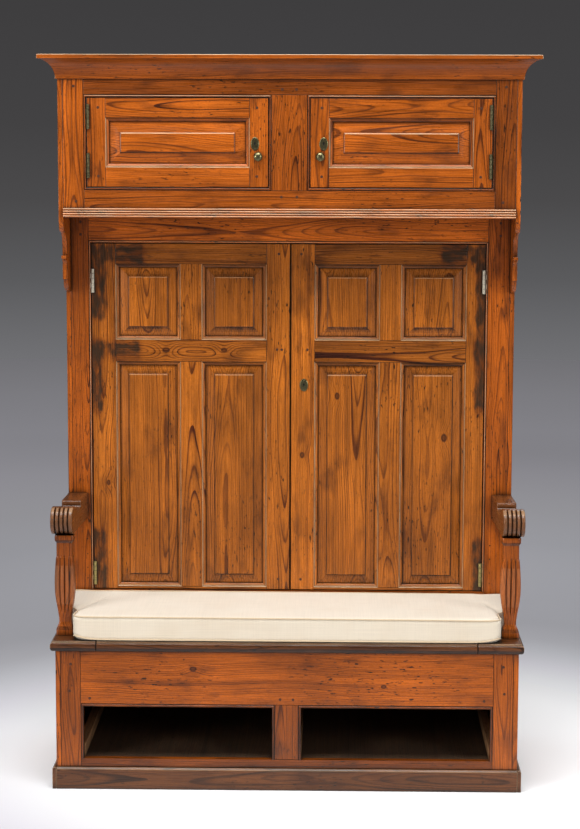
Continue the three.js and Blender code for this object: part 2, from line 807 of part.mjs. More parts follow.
function hoodFrame() {
  const face = [hoodSetback, hoodSetback + frameThickness];
  const high = [hoodOpeningFoot, hoodOpeningTop];
  const beads = hoodOpenings.map((x) => block(x, [hoodSetback - cockBeadProud, face[1]], high));
  const deep = grown(face, overrun + cockBeadProud);
  const clear = hoodOpenings.map((x) => block(grown(x, -cockBeadWidth), deep, grown(high, -cockBeadWidth)));
  const inner = hoodOpeningInner + cockBeadWidth;
  const outer = hoodOpeningOuter - cockBeadWidth;
  const fittings = [-1, 1].flatMap((side) => [
    keeper(side * inner, -side, hoodDoorGap, hoodSetback, hoodLockHeight),
    ...hoodHingeHeights.map((height) => hingeRecess(side * outer, side, hoodSetback, hoodLeafDepth, height)),
  ]);
  const whole = joined([block([-innerHalf, innerHalf], face, [hoodUnder, hoodTop]), ...beads]);
  return cut(whole, [...clear, ...fittings]);
}

function reededStrip() {
  const back = hoodSetback - fit;
  const front = back - reedSetOut;
  const strip = new THREE.Shape();
  strip.moveTo(back, hoodUnder);
  strip.lineTo(back, hoodUnder + reedCount * reedHeight);
  strip.lineTo(front, hoodUnder + reedCount * reedHeight);
  for (let reed = reedCount - 1; reed >= 0; reed -= 1) {
    const centre = hoodUnder + (reed + 1 / 2) * reedHeight;
    strip.absarc(front, centre, reedHeight / 2, Math.PI / 2, 3 * Math.PI / 2, false);
  }
  return alongX(strip, [-innerHalf, innerHalf]);
}

const hood = assembly();
const hoodInside = [hoodSetback + frameThickness + fit, backStop];
const hoodFloorTop = hoodFloorUnder + shelfThickness;
const hoodCeiling = hoodTop - shelfThickness;
place(hood, "hood_frame", hoodFrame(), pine());
const hoodBoard = (z) => block([-innerHalf, innerHalf], hoodInside, z);
place(hood, "hood_floor", hoodBoard([hoodFloorUnder, hoodFloorTop]), rawPine());
place(hood, "hood_top", hoodBoard([hoodCeiling, hoodTop]), rawPine());
place(hood, "hood_divider", block(
  [-dividerHalf, dividerHalf],
  hoodInside,
  [hoodFloorTop + fit, hoodCeiling - fit],
), rawPine());
place(hood, "reeded_strip", reededStrip(), pine());

// Turned brass knob about its own middle, its rose on the door's face.
function knob() {
  const profile = knobShares.map(([across, out]) => (
    new THREE.Vector2((across * knobDiameter) / 2, out * knobReach)
  ));
  return solidOf(new THREE.LatheGeometry(profile, knobSides).rotateX(Math.PI));
}

for (const [side, sign] of [["left", -1], ["right", 1]]) {
  const group = assembly();
  const meeting = sign * hoodDoorInner;
  const hinge = sign * hoodDoorOuter;
  const rails = [hoodDoorFoot + hoodDoorRail, hoodDoorHead - hoodDoorRail];
  const opening = { x: range(meeting + sign * hoodDoorStile, hinge - sign * hoodDoorStile), z: rails };
  const frame = panelledFrame(
    range(meeting, hinge),
    [hoodSetback, hoodSetback + hoodDoorThickness],
    [hoodDoorFoot, hoodDoorHead],
    [opening],
  ).subtract(boltSlot(meeting, sign, hoodSetback, hoodLockHeight));
  place(group, `hood_door_${side}`, frame, pine());
  placePanels(group, [`hood_panel_${side}`], [opening], hoodSetback, hoodBevelShare * length(opening.z));
  const lockX = meeting + sign * lockInset;
  const plateAt = [lockX, hoodSetback - fit, hoodLockHeight];
  place(group, `hood_keyhole_plate_${side}`, keyholePlate(), brass(), plateAt);
  place(group, `knob_${side}`, knob(), brass(), [
    meeting + sign * knobInset, hoodSetback - fit, hoodDoorFoot + knobRise,
  ]);
  const boltAt = boltPlace(meeting, sign, hoodSetback, hoodLockHeight);
  place(group, `hood_lock_bolt_${side}`, lockBolt(), steel(), boltAt);
  const edge = sign * (hoodOpeningOuter - cockBeadWidth);
  hoodHingeHeights.forEach((height, i) => {
    const butt = buttHinge(edge, sign, hoodDoorGap, hoodSetback, hoodLeafDepth);
    place(hood, `hood_hinge_${side}_${["upper", "lower"][i]}`, butt, steel(), [0, 0, height]);
  });
}

// Cornice: a cavetto between two fillets, mitred at the front corners.
function corniceProfile() {
  const section = new THREE.Shape();
  section.moveTo(fit, corniceUnder);
  section.lineTo(corniceFoot, corniceUnder);
  section.lineTo(corniceFoot, corniceUnder + corniceFootHeight);
  section.quadraticCurveTo(
    corniceFoot * 2, corniceTop - corniceFillet * 2,
    corniceReach - corniceLip, corniceTop - corniceFillet,
  );
  section.lineTo(corniceReach, corniceTop - corniceFillet);
  section.lineTo(corniceReach, corniceTop);
  section.lineTo(fit, corniceTop);
  return section.extractPoints(arcSteps).shape;
}

const corniceOutline = corniceProfile();
const frontEnd = (side) => corniceOutline.map(({ x: reach, y: height }) => (
  new THREE.Vector3(side * (endOuter + reach), hoodSetback - reach, height)
));
const mitreGap = new THREE.Vector3(0, 2 * fit, 0);
const backEnd = corniceOutline.map(({ x: reach, y: height }) => (
  new THREE.Vector3(endOuter + reach, carcaseDepth, height)
));
place(hood, "cornice_front", skin([frontEnd(-1), frontEnd(1)], corniceOutline), pine());
const mitredEnd = frontEnd(1).map((point) => point.add(mitreGap));
placePair(hood, "cornice", skin([mitredEnd, backEnd], corniceOutline), pine);

// Arm: level at the back, a beaded step, a hollow, and a scroll that rolls over its post.
function armOutline() {
  const scrollTop = armUnder + scrollHeight;
  const stepFoot = armTop - armStepFall;
  const hollow = armTop - armHollowFall;
  const side = new THREE.Shape();
  side.moveTo(seatDepth - fit, armUnder);
  side.lineTo(scrollDistance, armUnder);
  side.absellipse(
    scrollDistance, armUnder + scrollHeight / 2,
    scrollDepth / 2, scrollHeight / 2,
    -Math.PI / 2, Math.PI / 2, true,
  );
  side.quadraticCurveTo(middle([scrollDistance, armHollowDistance]), scrollTop, armHollowDistance, hollow);
  side.quadraticCurveTo(armStepDistance - armBead, hollow, armStepDistance, stepFoot);
  side.quadraticCurveTo(armStepDistance - armBead, armTop - armBead / 2, armStepDistance + armBead, armTop);
  side.lineTo(seatDepth - fit, armTop);
  return side;
}

// A flute round the scroll: the band between two ellipses.
function scrollFlute(centre) {
  const start = Math.PI * fluteStartShare;
  const end = Math.PI * fluteEndShare;
  const band = new THREE.Shape();
  const round = (by, from, to, clockwise) => band.absellipse(
    scrollDistance, armUnder + scrollHeight / 2,
    scrollDepth / 2 + by, scrollHeight / 2 + by,
    from, to, clockwise,
  );
  round(overrun, start, end, true);
  round(-fluteDepth, end, start, false);
  return alongX(band, grown([centre, centre], fluteWidth / 2));
}

function arm() {
  const whole = alongX(armOutline(), [armInner, armInner + armWidth + scrollSpread]);
  const behindScroll = block(
    [armInner + armWidth, armInner + armWidth + scrollSpread + overrun],
    [scrollDistance + scrollDepth / 2, carcaseDepth],
    [armUnder - overrun, armTop + scrollHeight],
  );
  const scrollWidth = armWidth + scrollSpread;
  const flutes = [];
  for (let line = 1; line < postReedCount; line += 1) {
    flutes.push(scrollFlute(armInner + (line * scrollWidth) / postReedCount));
  }
  const splay = armSplay / (seatDepth - scrollDistance);
  const shear = new THREE.Matrix4().makeShear(0, 0, -splay, 0, 0, 0).setPosition(splay * seatDepth, 0, 0);
  return geometryOf(cut(whole, [behindScroll, ...flutes])).applyMatrix4(shear);
}

// Post outline about its own centre line, from its foot up.
function postOutline() {
  const half = (width) => width / 2;
  const top = armUnder - fit;
  const right = new THREE.Path();
  right.moveTo(half(postFootWidth), seatTop + fit);
  right.lineTo(half(postFootWidth), seatTop + postFootHeight);
  right.lineTo(half(postWaistWidth), seatTop + postWaistHeight);
  right.bezierCurveTo(
    half(postWaistWidth), seatTop + middle([postWaistHeight, postBellyHeight]),
    half(postBellyWidth), seatTop + middle([postWaistHeight, postBellyHeight]),
    half(postBellyWidth), seatTop + postBellyHeight,
  );
  right.quadraticCurveTo(
    half(postBellyWidth), middle([seatTop + postBellyHeight, armUnder - postNeckDrop]),
    half(postNeckWidth), armUnder - postNeckDrop,
  );
  right.lineTo(half(postNeckWidth), top - 2 * postRingHeight);
  right.lineTo(half(postRingWidth), top - postRingHeight);
  right.lineTo(half(postRingWidth), top);
  const points = right.getPoints(arcSteps);
  return [...points, ...points.toReversed().map(({ x, y }) => new THREE.Vector2(-x, y))];
}

// Strip between two shares of the post's width, from the foot of the reeds to the neck.
function fluteStrip(share) {
  const foot = seatTop + postReedFoot;
  const head = armUnder - postNeckDrop;
  const side = postOutline().filter(({ x, y }) => x > 0 && y >= foot && y <= head);
  const edge = (offset) => side.map(({ x, y }) => [postCentre + share * x + offset, y]);
  const half = fluteWidth / 2;
  return outline([...edge(half), ...edge(-half).reverse()]);
}

function post() {
  const depthCentre = postDistance + postBellyDepth / 2;
  const depthShare = postBellyDepth / postBellyWidth;
  const wide = grown([postCentre, postCentre], postBellyWidth);
  const deep = grown([depthCentre, depthCentre], postBellyWidth);
  const facing = (points) => outline(points.map(({ x, y }) => [postCentre + x, y]));
  const sideways = (points, by) => outline(points.map(({ x, y }) => [depthCentre + x * depthShare + by, y]));
  const front = alongY(facing(postOutline()), deep);
  const side = alongX(sideways(postOutline(), 0), wide);
  const core = alongX(sideways(postOutline(), fluteDepth), wide);
  const flutes = [];
  for (let line = 1; line < postReedCount; line += 1) {
    const strip = fluteStrip((2 * line) / postReedCount - 1);
    flutes.push(alongY(strip, [depthCentre - postBellyWidth, depthCentre]).subtract(core));
  }
  return cut(front.intersect(side), flutes);
}

const arms = assembly();
placePair(arms, "arm", arm(), pine);
placePair(arms, "arm_post", post(), pine);

// Cushion: crowned, its sides drawn in between the seams, and pinched between the arm posts.
function cushionPlan() {
  const back = seatDepth - cushionBackGap;
  const waist = cushionWaistDistance;
  const plan = new THREE.Shape();
  plan.moveTo(0, cushionFront);
  plan.lineTo(cushionFrontHalf - cushionCorner, cushionFront);
  plan.quadraticCurveTo(cushionFrontHalf, cushionFront, cushionWaistHalf, waist);
  plan.quadraticCurveTo(
    cushionWaistHalf, waist + cushionBackCorner,
    cushionBackHalf, waist + 2 * cushionBackCorner,
  );
  plan.lineTo(cushionBackHalf, back - cushionBackCorner);
  plan.quadraticCurveTo(cushionBackHalf, back, cushionBackHalf - cushionBackCorner, back);
  plan.lineTo(0, back);
  const half = plan.getSpacedPoints(cushionOutlinePoints / 2 - 1).slice(0, -1);
  const inner = half.slice(1, -1).toReversed();
  return [...half, ...inner.map(({ x, y }) => new THREE.Vector2(-x, y))];
}

function cushion() {
  const plan = cushionPlan();
  const foot = seatTop + fit;
  const middleDepth = middle([cushionFront, seatDepth - cushionBackGap]);
  const halfDepth = (seatDepth - cushionBackGap - cushionFront) / 2;
  const ring = (inset, height) => plan.map(({ x, y }) => {
    const alongWidth = x * (1 - inset / cushionBackHalf);
    const alongDepth = middleDepth + (y - middleDepth) * (1 - inset / halfDepth);
    return new THREE.Vector3(alongWidth, alongDepth, foot + height);
  });
  const edge = cushionThickness - cushionCrown;
  const rings = [
    ring(cushionRim, 0),
    ring(cushionBulge, cushionRim / 2),
    ring(cushionBulge, cushionRim),
    ring(cushionDrawIn, edge / 2),
    ring(cushionBulge, edge - cushionRim),
    ring(cushionBulge, edge - cushionRim / 2),
  ];
  for (const share of cushionRingShares) {
    const rise = cushionCrown * Math.sin((share * Math.PI) / 2);
    rings.push(ring(cushionRim + share * (halfDepth - cushionRim), edge + rise));
  }
  return skin(rings, plan);
}

place(seat, "seat_cushion", cushion(), canvas());

export default settle;
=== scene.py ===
"""Looks of a panelled pine settle: its timber, fittings and cushion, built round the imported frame."""

import math
import random
from functools import partial

import bmesh
import bpy
import numpy as np
from mathutils import Matrix, Vector
from mathutils.kdtree import KDTree


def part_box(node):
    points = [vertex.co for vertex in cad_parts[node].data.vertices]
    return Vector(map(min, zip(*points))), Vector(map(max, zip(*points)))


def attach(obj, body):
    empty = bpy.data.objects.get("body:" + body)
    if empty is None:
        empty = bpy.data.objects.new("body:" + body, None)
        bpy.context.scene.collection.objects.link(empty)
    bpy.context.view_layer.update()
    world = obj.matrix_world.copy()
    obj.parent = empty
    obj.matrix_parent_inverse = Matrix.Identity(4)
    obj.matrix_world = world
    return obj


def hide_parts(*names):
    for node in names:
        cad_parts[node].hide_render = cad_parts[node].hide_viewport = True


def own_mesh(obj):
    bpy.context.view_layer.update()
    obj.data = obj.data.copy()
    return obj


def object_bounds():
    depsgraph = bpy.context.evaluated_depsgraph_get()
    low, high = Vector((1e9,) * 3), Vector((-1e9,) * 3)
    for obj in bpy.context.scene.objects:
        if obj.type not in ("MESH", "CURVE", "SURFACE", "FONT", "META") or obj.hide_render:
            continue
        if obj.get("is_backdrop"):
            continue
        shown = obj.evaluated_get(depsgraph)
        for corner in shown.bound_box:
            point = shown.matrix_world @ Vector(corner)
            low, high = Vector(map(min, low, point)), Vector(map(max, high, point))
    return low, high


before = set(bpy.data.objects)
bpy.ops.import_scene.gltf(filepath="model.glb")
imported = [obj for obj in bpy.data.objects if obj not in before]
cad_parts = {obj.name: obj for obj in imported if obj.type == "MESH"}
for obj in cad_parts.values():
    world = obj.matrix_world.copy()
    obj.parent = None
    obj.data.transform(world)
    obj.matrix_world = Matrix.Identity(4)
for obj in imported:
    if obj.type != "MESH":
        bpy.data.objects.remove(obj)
cad_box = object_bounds()

bl_info = {
    "name": "Panelled settle",
    "version": (1, 0, 0),
    "blender": (4, 5, 0),
    "location": "View3D > Sidebar > Settle",
    "description": "Builds the timber, fittings and cushion of a panelled pine settle round its frame",
    "category": "Object",
}

MM = 0.001
X, Y, Z = 0, 1, 2
SIDES = (("left", -1), ("right", 1))

# Camera, set so that the settle's edges fall where the photograph has them
CAMERA_PLACE = (0.139, -6.9205, 2.083)
CAMERA_TURN = math.radians(-1.13)  # about the upright, to the left
CAMERA_TILT = math.radians(7.79)  # below the level
CAMERA_ROLL = math.radians(0.15)
LONG_SIDE_PIXELS = 829
FOCAL_PIXELS = 2200
SENSOR = 36

FLOOR_RADIUS = 12


def linear(code):
    """A written sRGB colour, such as #a05a2b, as linear red, green, blue and alpha."""
    parts = [int(code[i : i + 2], 16) / 255 for i in (1, 3, 5)]
    return (*(p / 12.92 if p <= 0.04045 else ((p + 0.055) / 1.055) ** 2.4 for p in parts), 1.0)


def length(name, description, millimetres):
    return bpy.props.FloatProperty(
        name=name, description=description, default=millimetres * MM, unit="LENGTH", precision=4
    )


def tint(name, description, code):
    return bpy.props.FloatVectorProperty(
        name=name, description=description, default=linear(code), size=4, subtype="COLOR", min=0, max=1
    )


class SettleSizes(bpy.types.PropertyGroup):
    """Sizes of the settle's finer detail. The frame gives all the large ones."""

    arris: length("Arris", "How far a board's sharp edge is rubbed down", 1.1)
    shoulder: length("Shoulder gap", "Half the hairline where two members meet", 0.15)
    sticking: length("Sticking width", "Moulding worked round each panel's opening", 12.5)
    bevel: length("Tall panel margin", "Sloping margin round a tall door's panel", 32)
    hood_bevel: length("Hood panel margin", "Sloping margin round a hood door's panel", 37)
    lip: length("Groove lip", "Front of a door frame to its panel's groove", 9.7)
    tongue: length("Panel tongue", "How far a panel runs into its frame", 8)
    cock_bead: length("Cock bead", "Width of the bead round each hood opening", 8)
    cock_bead_proud: length("Cock bead projection", "How far that bead stands out", 3)
    bay_bead: length("Bay bead", "Width of the bead round each bay", 9)
    bay_bead_proud: length("Bay bead projection", "How far that bead stands out", 3)
    door_bead: length("Doorway bead", "Width of the bead round the tall doors", 7)
    door_bead_proud: length("Doorway bead projection", "How far that bead stands out", 2)
    peg: length("Peg", "Radius of the pegs that hold the joints", 4.2)
    nail: length("Nail", "Radius of a nail's head", 2.2)
    leaf: length("Hinge leaf", "Thickness of the leaves that the frame leaves room for", 2)
    welt: length("Welt", "Radius of the cushion's sewn edge", 2.2)
    voxel: length("Cushion grain", "Spacing of the cushion's mesh as it is simulated", 6)
    swell: length("Cushion swell", "Most that the stuffing may push the cover out", 11)


class SettleColours(bpy.types.PropertyGroup):
    """Colours of the settle's finishes, before light, wear and dirt."""

    early: tint("Waxed early wood", "Soft wood between the rings", "#b85b0e")
    late: tint("Waxed late wood", "Hard dark line of each ring", "#471c05")
    door_early: tint("Door early wood", "Soft wood of the doors and panels", "#b46419")
    door_late: tint("Door late wood", "Dark line of each ring in the doors", "#4a1c04")
    worn_early: tint("Handled early wood", "Soft wood of the seat and plinth", "#7a4722")
    worn_late: tint("Handled late wood", "Dark lines of the seat and plinth", "#2c1709")
    raw_early: tint("Unwaxed early wood", "Soft wood inside and behind", "#8f6a48")
    raw_late: tint("Unwaxed late wood", "Dark lines inside and behind", "#5c3c24")
    # Also used as the painted shade in sheltered corners, gaps and undersides.
    grime: tint("Old wax and dirt", "What has gathered in the corners", "#190e06")
    # Also painted on edges, reed tops and bead tops as a highlight.
    rubbed: tint("Rubbed edge", "Wood on edges that hands and cloths keep bright", "#f0ca9f")
    iron_stain: tint("Iron stain", "Mark left by old iron hinges", "#282115")
    canvas: tint("Canvas", "Unbleached cotton of the cushion", "#efe6d4")
    brass: tint("Aged brass", "Plates and knobs", "#8a845f")
    steel: tint("Worn steel", "Upper hinges of the tall doors", "#d9d2bd")
    lacquer: tint("Lacquered steel", "Lower hinges of the tall doors", "#b3a468")
    bronze: tint("Bronzed steel", "Hinges of the hood's doors", "#6b6548")
    iron: tint("Forged iron", "Heads of the old nails", "#2a2520")


def sizes():
    return bpy.context.scene.settle_sizes


def colours():
    return bpy.context.scene.settle_colours


def add(tree, kind, *inputs, out=None, stops=(), **settings):
    """Adds a shader node and gives back its first output in use, or the one that out names. The kind may end
    in an operation, as in Math.ADD. Inputs in order are values or other nodes' outputs. A setting in small
    letters is a property of the node, and any other is an input by name."""
    kind, _, operation = kind.partition(".")
    node = tree.nodes.new(f"ShaderNode{kind}")
    if operation:
        node.operation = operation
    for name, value in settings.items():
        if name[0].islower():
            setattr(node, name, value)
    for _ in stops[2:]:
        node.color_ramp.elements.new(1)
    for i, (position, colour) in enumerate(stops):
        element = node.color_ramp.elements[i]
        element.position, element.color = position, colour
    joined = list(zip((socket for socket in node.inputs if socket.enabled), inputs))
    joined += [(node.inputs[name], value) for name, value in settings.items() if not name[0].islower()]
    for socket, value in joined:
        if isinstance(value, bpy.types.NodeSocket):
            tree.links.new(value, socket)
        else:
            socket.default_value = value
    return node.outputs[out] if out else next((socket for socket in node.outputs if socket.enabled), None)


def material(name, paint):
    """The material of that name. It is made on first use, from the shader's values that paint gives."""
    if name not in bpy.data.materials:
        made = bpy.data.materials.new(name)
        made.use_nodes = True
        made.node_tree.nodes.clear()
        node = partial(add, made.node_tree)
        node("OutputMaterial", node("BsdfPrincipled", **paint(node)))
    return bpy.data.materials[name]


# Knots seen on the front, as X and Z in metres with the knot's radius
KNOTS = (
    (-0.397, 1.331, 0.011), (-0.211, 1.332, 0.009), (0.152, 1.185, 0.010), (0.496, 1.051, 0.012),
    (0.040, 0.993, 0.009), (-0.289, 0.382, 0.010), (0.300, 0.330, 0.008), (-0.585, 0.900, 0.008),
)

# Where iron hinges once lay on the tall doors: X limits and Z limits in metres
STAINS = (
    (-0.634, -0.475, 1.622, 1.658), (-0.634, -0.594, 1.440, 1.660), (-0.634, -0.488, 1.322, 1.348),
    (-0.634, -0.610, 1.145, 1.330), (-0.634, -0.600, 0.551, 0.735), (0.488, 0.621, 1.622, 1.660),
    (0.597, 0.621, 1.330, 1.660), (0.601, 0.621, 1.160, 1.340), (0.598, 0.621, 0.553, 0.700),
)

# Each finish: early and late wood, ring spacing, roughness, wax coat, and how dark its sheltered corners are
# painted, as dirt and as shade
FINISHES = {
    "waxed": ("early", "late", 4.4, (0.22, 0.38), 0.08, 0.95),
    "door": ("door_early", "door_late", 4.2, (0.20, 0.36), 0.08, 0.95),
    "handled": ("worn_early", "worn_late", 4.6, (0.22, 0.42), 0.1, 0.95),
    "raw": ("raw_early", "raw_late", 5.5, (0.72, 0.88), 0.0, 0.8),
}

# Darkness through one year's growth, and out from a knot's centre
SEASON, KNOT = (
    [(at, (level, level, level, 1)) for at, level in stops] for stops in (
        ((0, 0.3), (0.10, 0.04), (0.58, 0.07), (0.78, 0.5), (0.88, 1), (0.98, 1)),
        ((0.0, 0.75), (0.38, 0.7), (0.52, 1), (0.68, 0.8), (0.95, 0)),
    )
)
FAR = 9


def pine(finish, along, knots=False, stains=False):
    """Old slow-grown pine, hand planed: growth rings cut by the board's faces, so arches on a face,
    stripes at its sides and rings on its ends, with hard late wood a little proud and wax over it."""
    early, late, spacing, rough, coat, dirt = FINISHES[finish]
    early, late, dark = (getattr(colours(), name) for name in (early, late, "grime"))

    def stretched(across, lengthwise):
        return tuple(lengthwise if axis == along else across for axis in range(3))

    def paint(node):
        def pattern(across, lengthwise, detail, *levels):
            """Noise stretched along the grain, taken from two of its levels to two others."""
            spots = node("VectorMath.MULTIPLY", near, stretched(across, lengthwise))
            return node("MapRange", node("TexNoise", spots, 1, detail), *levels)

        place = near = node("TexCoord", out="Object")
        for kind in ("GEOMETRY", "OBJECT"):
            heart = node("Attribute", out="Vector", attribute_type=kind, attribute_name="heart")
            near = node("VectorMath.SUBTRACT", near, heart)

        # The heart wanders by some centimetres in a metre, which turns stripes into arches, and ripples.
        trunk = near
        for across, lengthwise, reach, detail in ((0.7, 1.4, 0.07, 1), (15, 5.0, 0.005, 2)):
            drift = node("VectorMath.MULTIPLY", near, stretched(across, lengthwise))
            drift = node("TexNoise", drift, 1, detail, out="Color")
            drift = node("VectorMath.SUBTRACT", drift, (0.5, 0.5, 0.5))
            trunk = node("VectorMath.MULTIPLY_ADD", drift, stretched(reach, 0), trunk)
        radius = node("VectorMath.LENGTH", node("VectorMath.MULTIPLY", trunk, stretched(1, 0)))

        # A knot pushes the rings aside.
        knot_core = FAR
        wide, tall = (1, 0.7) if along == Z else (0.7, 1)
        for x, z, size in KNOTS if knots else ():
            reach = node("VectorMath.SUBTRACT", place, (x, 0, z))
            reach = node("VectorMath.LENGTH", node("VectorMath.MULTIPLY", reach, (wide / size, 0, tall / size)))
            swirl = node("Math.EXPONENT", node("Math.MULTIPLY", node("Math.POWER", reach, 2), -0.16))
            radius = node("Math.MULTIPLY_ADD", swirl, size * 1.5, radius)
            knot_core = node("Math.MINIMUM", reach, knot_core)

        # Early wood darkens slowly to a hard line, which ends sharply, and no two years are alike.
        rings = node("Math.DIVIDE", radius, spacing * MM)
        rings = node("Math.MULTIPLY_ADD", node("TexNoise", rings, 0.33, 1, noise_dimensions="1D"), 2.6, rings)
        line = node("ValToRGB", node("Math.FRACT", rings), stops=SEASON)
        year = node("TexWhiteNoise", node("Math.FLOOR", rings), noise_dimensions="1D")
        line = node("Math.MULTIPLY", line, node("MapRange", year, 0, 1, 0.3, 1))
        line = node("Math.MULTIPLY", line, pattern(14, 1.8, 2, 0.3, 0.7, 0.55, 1.3), use_clamp=True)
        colour = node("Mix", line, early, late, data_type="RGBA")

        # Fibres are finer than a pixel; they are drawn 2 and 5 mm wide. Flames, specks and blotches follow.
        tone = 1.0
        for kind in ("GEOMETRY", "OBJECT"):
            part = node("Attribute", out="Fac", attribute_type=kind, attribute_name="tone")
            tone = node("Math.ADD", part, tone)
        for level in (
            pattern(480, 11, 3, 0.25, 0.75, 0.68, 1.26), pattern(62, 1.6, 3, 0.28, 0.72, 0.74, 1.2),
            pattern(330, 190, 2, 0.3, 0.7, 0.88, 1.1), pattern(5, 3.2, 3, 0.3, 0.7, 0.72, 1.2), tone,
        ):
            colour = node("VectorMath.SCALE", colour, level)

        # Over the wood, from the oldest: smudges of wax, then nicks and worm holes along the grain
        nicks = pattern(190, 48, 2, 0.63, 0.69, 0, 0.95)
        nicks = node("Math.MULTIPLY", nicks, pattern(5, 3, 1, 0.42, 0.62, 0.2, 1))
        layers = [(pattern(19, 8, 4, 0.54, 0.76, 0, 0.66), linear("#3a1a09")), (nicks, dark)]
        if knots:
            layers.append((node("ValToRGB", knot_core, stops=KNOT), linear("#3b1907")))
        if stains:
            reach = FAR
            for low_x, high_x, low_z, high_z in STAINS:
                off = node("VectorMath.SUBTRACT", place, ((low_x + high_x) / 2, 0, (low_z + high_z) / 2))
                half = ((high_x - low_x) / 2, 0, (high_z - low_z) / 2)
                off = node("VectorMath.SUBTRACT", node("VectorMath.ABSOLUTE", off), half)
                off = node("VectorMath.MAXIMUM", node("VectorMath.MULTIPLY", off, (1, 0, 0.5)), (0, 0, 0))
                reach = node("Math.MINIMUM", node("VectorMath.LENGTH", off), reach)
            edge = node("TexNoise", node("VectorMath.MULTIPLY", place, stretched(46, 17)), 1, 4, 0.64)
            reach = node("Math.MULTIPLY_ADD", node("Math.SUBTRACT", edge, 0.5), 0.044, reach)
            # Tannin turned red at the edge of the mark, and near black inside it.
            for far, most, over in ((0.022, 0.6, linear("#5a2407")), (0.010, 0.86, colours().iron_stain)):
                mark = node("MapRange", reach, -0.004, far, most, 0, interpolation_type="SMOOTHSTEP")
                layers.append((mark, over))

        # Edges are rubbed bright, partly as a painted highlight; old wax and dirt lie where a cloth can't
        # reach, and sheltered corners and gaps are painted dark as their shade.
        uneven = pattern(45, 12, 3, 0.35, 0.65, 0.55, 1)
        # The face mark: above 0 dirt and painted shade, below 0 rubbing and a painted highlight.
        laid = node("Attribute", out="Fac", attribute_name="dirt")
        # Painted highlight, with the rubbing: bright where the face mark is below 0.
        rubbed = node("Math.MULTIPLY", node("Math.MULTIPLY", laid, -1, use_clamp=True), uneven)
        laid = node("Math.MULTIPLY", laid, uneven, use_clamp=True)
        # Painted shade: ambient occlusion darkens corners, quirks and gaps, together with their old dirt.
        shelter = node("AmbientOcclusion", out="AO", samples=8, Distance=0.02)
        shelter = node("Math.POWER", node("MapRange", shelter, 0.42, 0.96, dirt, 0), 1.3)
        for amount, over in (*layers, (rubbed, colours().rubbed), (shelter, dark), (laid, dark)):
            colour = node("Mix", amount, colour, over, data_type="RGBA")

        fibres = pattern(480, 11, 3, 0, 1, 0, 1)
        relief = node("Math.MULTIPLY_ADD", line, 0.6, fibres)
        return {
            "IOR": 1.43, "Coat Weight": coat, "Coat Roughness": 0.15, "Base Color": colour,
            "Roughness": node("MapRange", fibres, 0.3, 0.7, *rough),
            "Normal": node("Bump", Strength=0.35, Distance=0.35 * MM, Height=relief),
        }

    name = f"pine_{finish}_along_{'xyz'[along]}" + ("_knots" if knots else "") + ("_stained" if stains else "")
    return material(name, paint)


# Each metal: its name, metallic share, roughness and how far it has tarnished
METALS = {
    "brass": ("brass_cast_aged", 1.0, 0.22, 0.5),
    "steel": ("steel_rolled_worn", 0.35, 0.34, 0.25),
    "lacquer": ("steel_rolled_lacquered", 0.45, 0.34, 0.4),
    "bronze": ("steel_rolled_bronzed", 0.8, 0.4, 0.45),
    "iron": ("iron_forged_black", 0.6, 0.55, 0.5),
}


def aged_metal(kind):
    """Cast or rolled metal handled for a long time: bright where fingers rub it, dull and dark in between."""
    name, metallic, roughness, tarnish = METALS[kind]

    def paint(node):
        cloud = node("TexNoise", node("TexCoord", out="Object"), 160, 4, 0.65)
        shelter = node("AmbientOcclusion", out="AO", samples=6, Distance=0.004)
        base = getattr(colours(), kind)
        for amount, over in (
            (node("MapRange", cloud, 0.38, 0.62, 0, tarnish), "#221d16"),
            (node("MapRange", shelter, 0.3, 0.9, 0.8, 0), "#171310"),
        ):
            base = node("Mix", amount, base, linear(over), data_type="RGBA")
        return {
            "Metallic": metallic, "Base Color": base,
            "Roughness": node("MapRange", cloud, 0.35, 0.65, roughness, roughness + 0.22),
            "Normal": node("Bump", Strength=0.3, Distance=0.15 * MM, Height=cloud),
        }

    return material(name, paint)


def speckled(name, scale, dark, light, roughness, bump=0.0):
    """A dull material of two colours in fine specks."""
    def paint(node):
        cloud = node("TexNoise", node("TexCoord", out="Object"), scale, 2)
        base = node("Mix", cloud, linear(dark), linear(light), data_type="RGBA")
        relief = {"Normal": node("Bump", Strength=bump, Distance=0.2 * MM, Height=cloud)} if bump else {}
        return {"Roughness": roughness, "Base Color": base, **relief}

    return material(name, paint)


def dark_hollow():
    """The keyhole's inner end: dull iron painted near black, standing for the shade inside the lock, so that it
    sends almost no light back.
    """
    return speckled("lock_iron_unlit", 300, "#0b0908", "#1b1612", 0.9)


def oak_peg():
    """Cleft oak peg, pared flush: dark end grain that has taken up wax."""
    return speckled("oak_peg_end_grain", 900, "#2c1508", "#54290f", 0.55, 0.4)


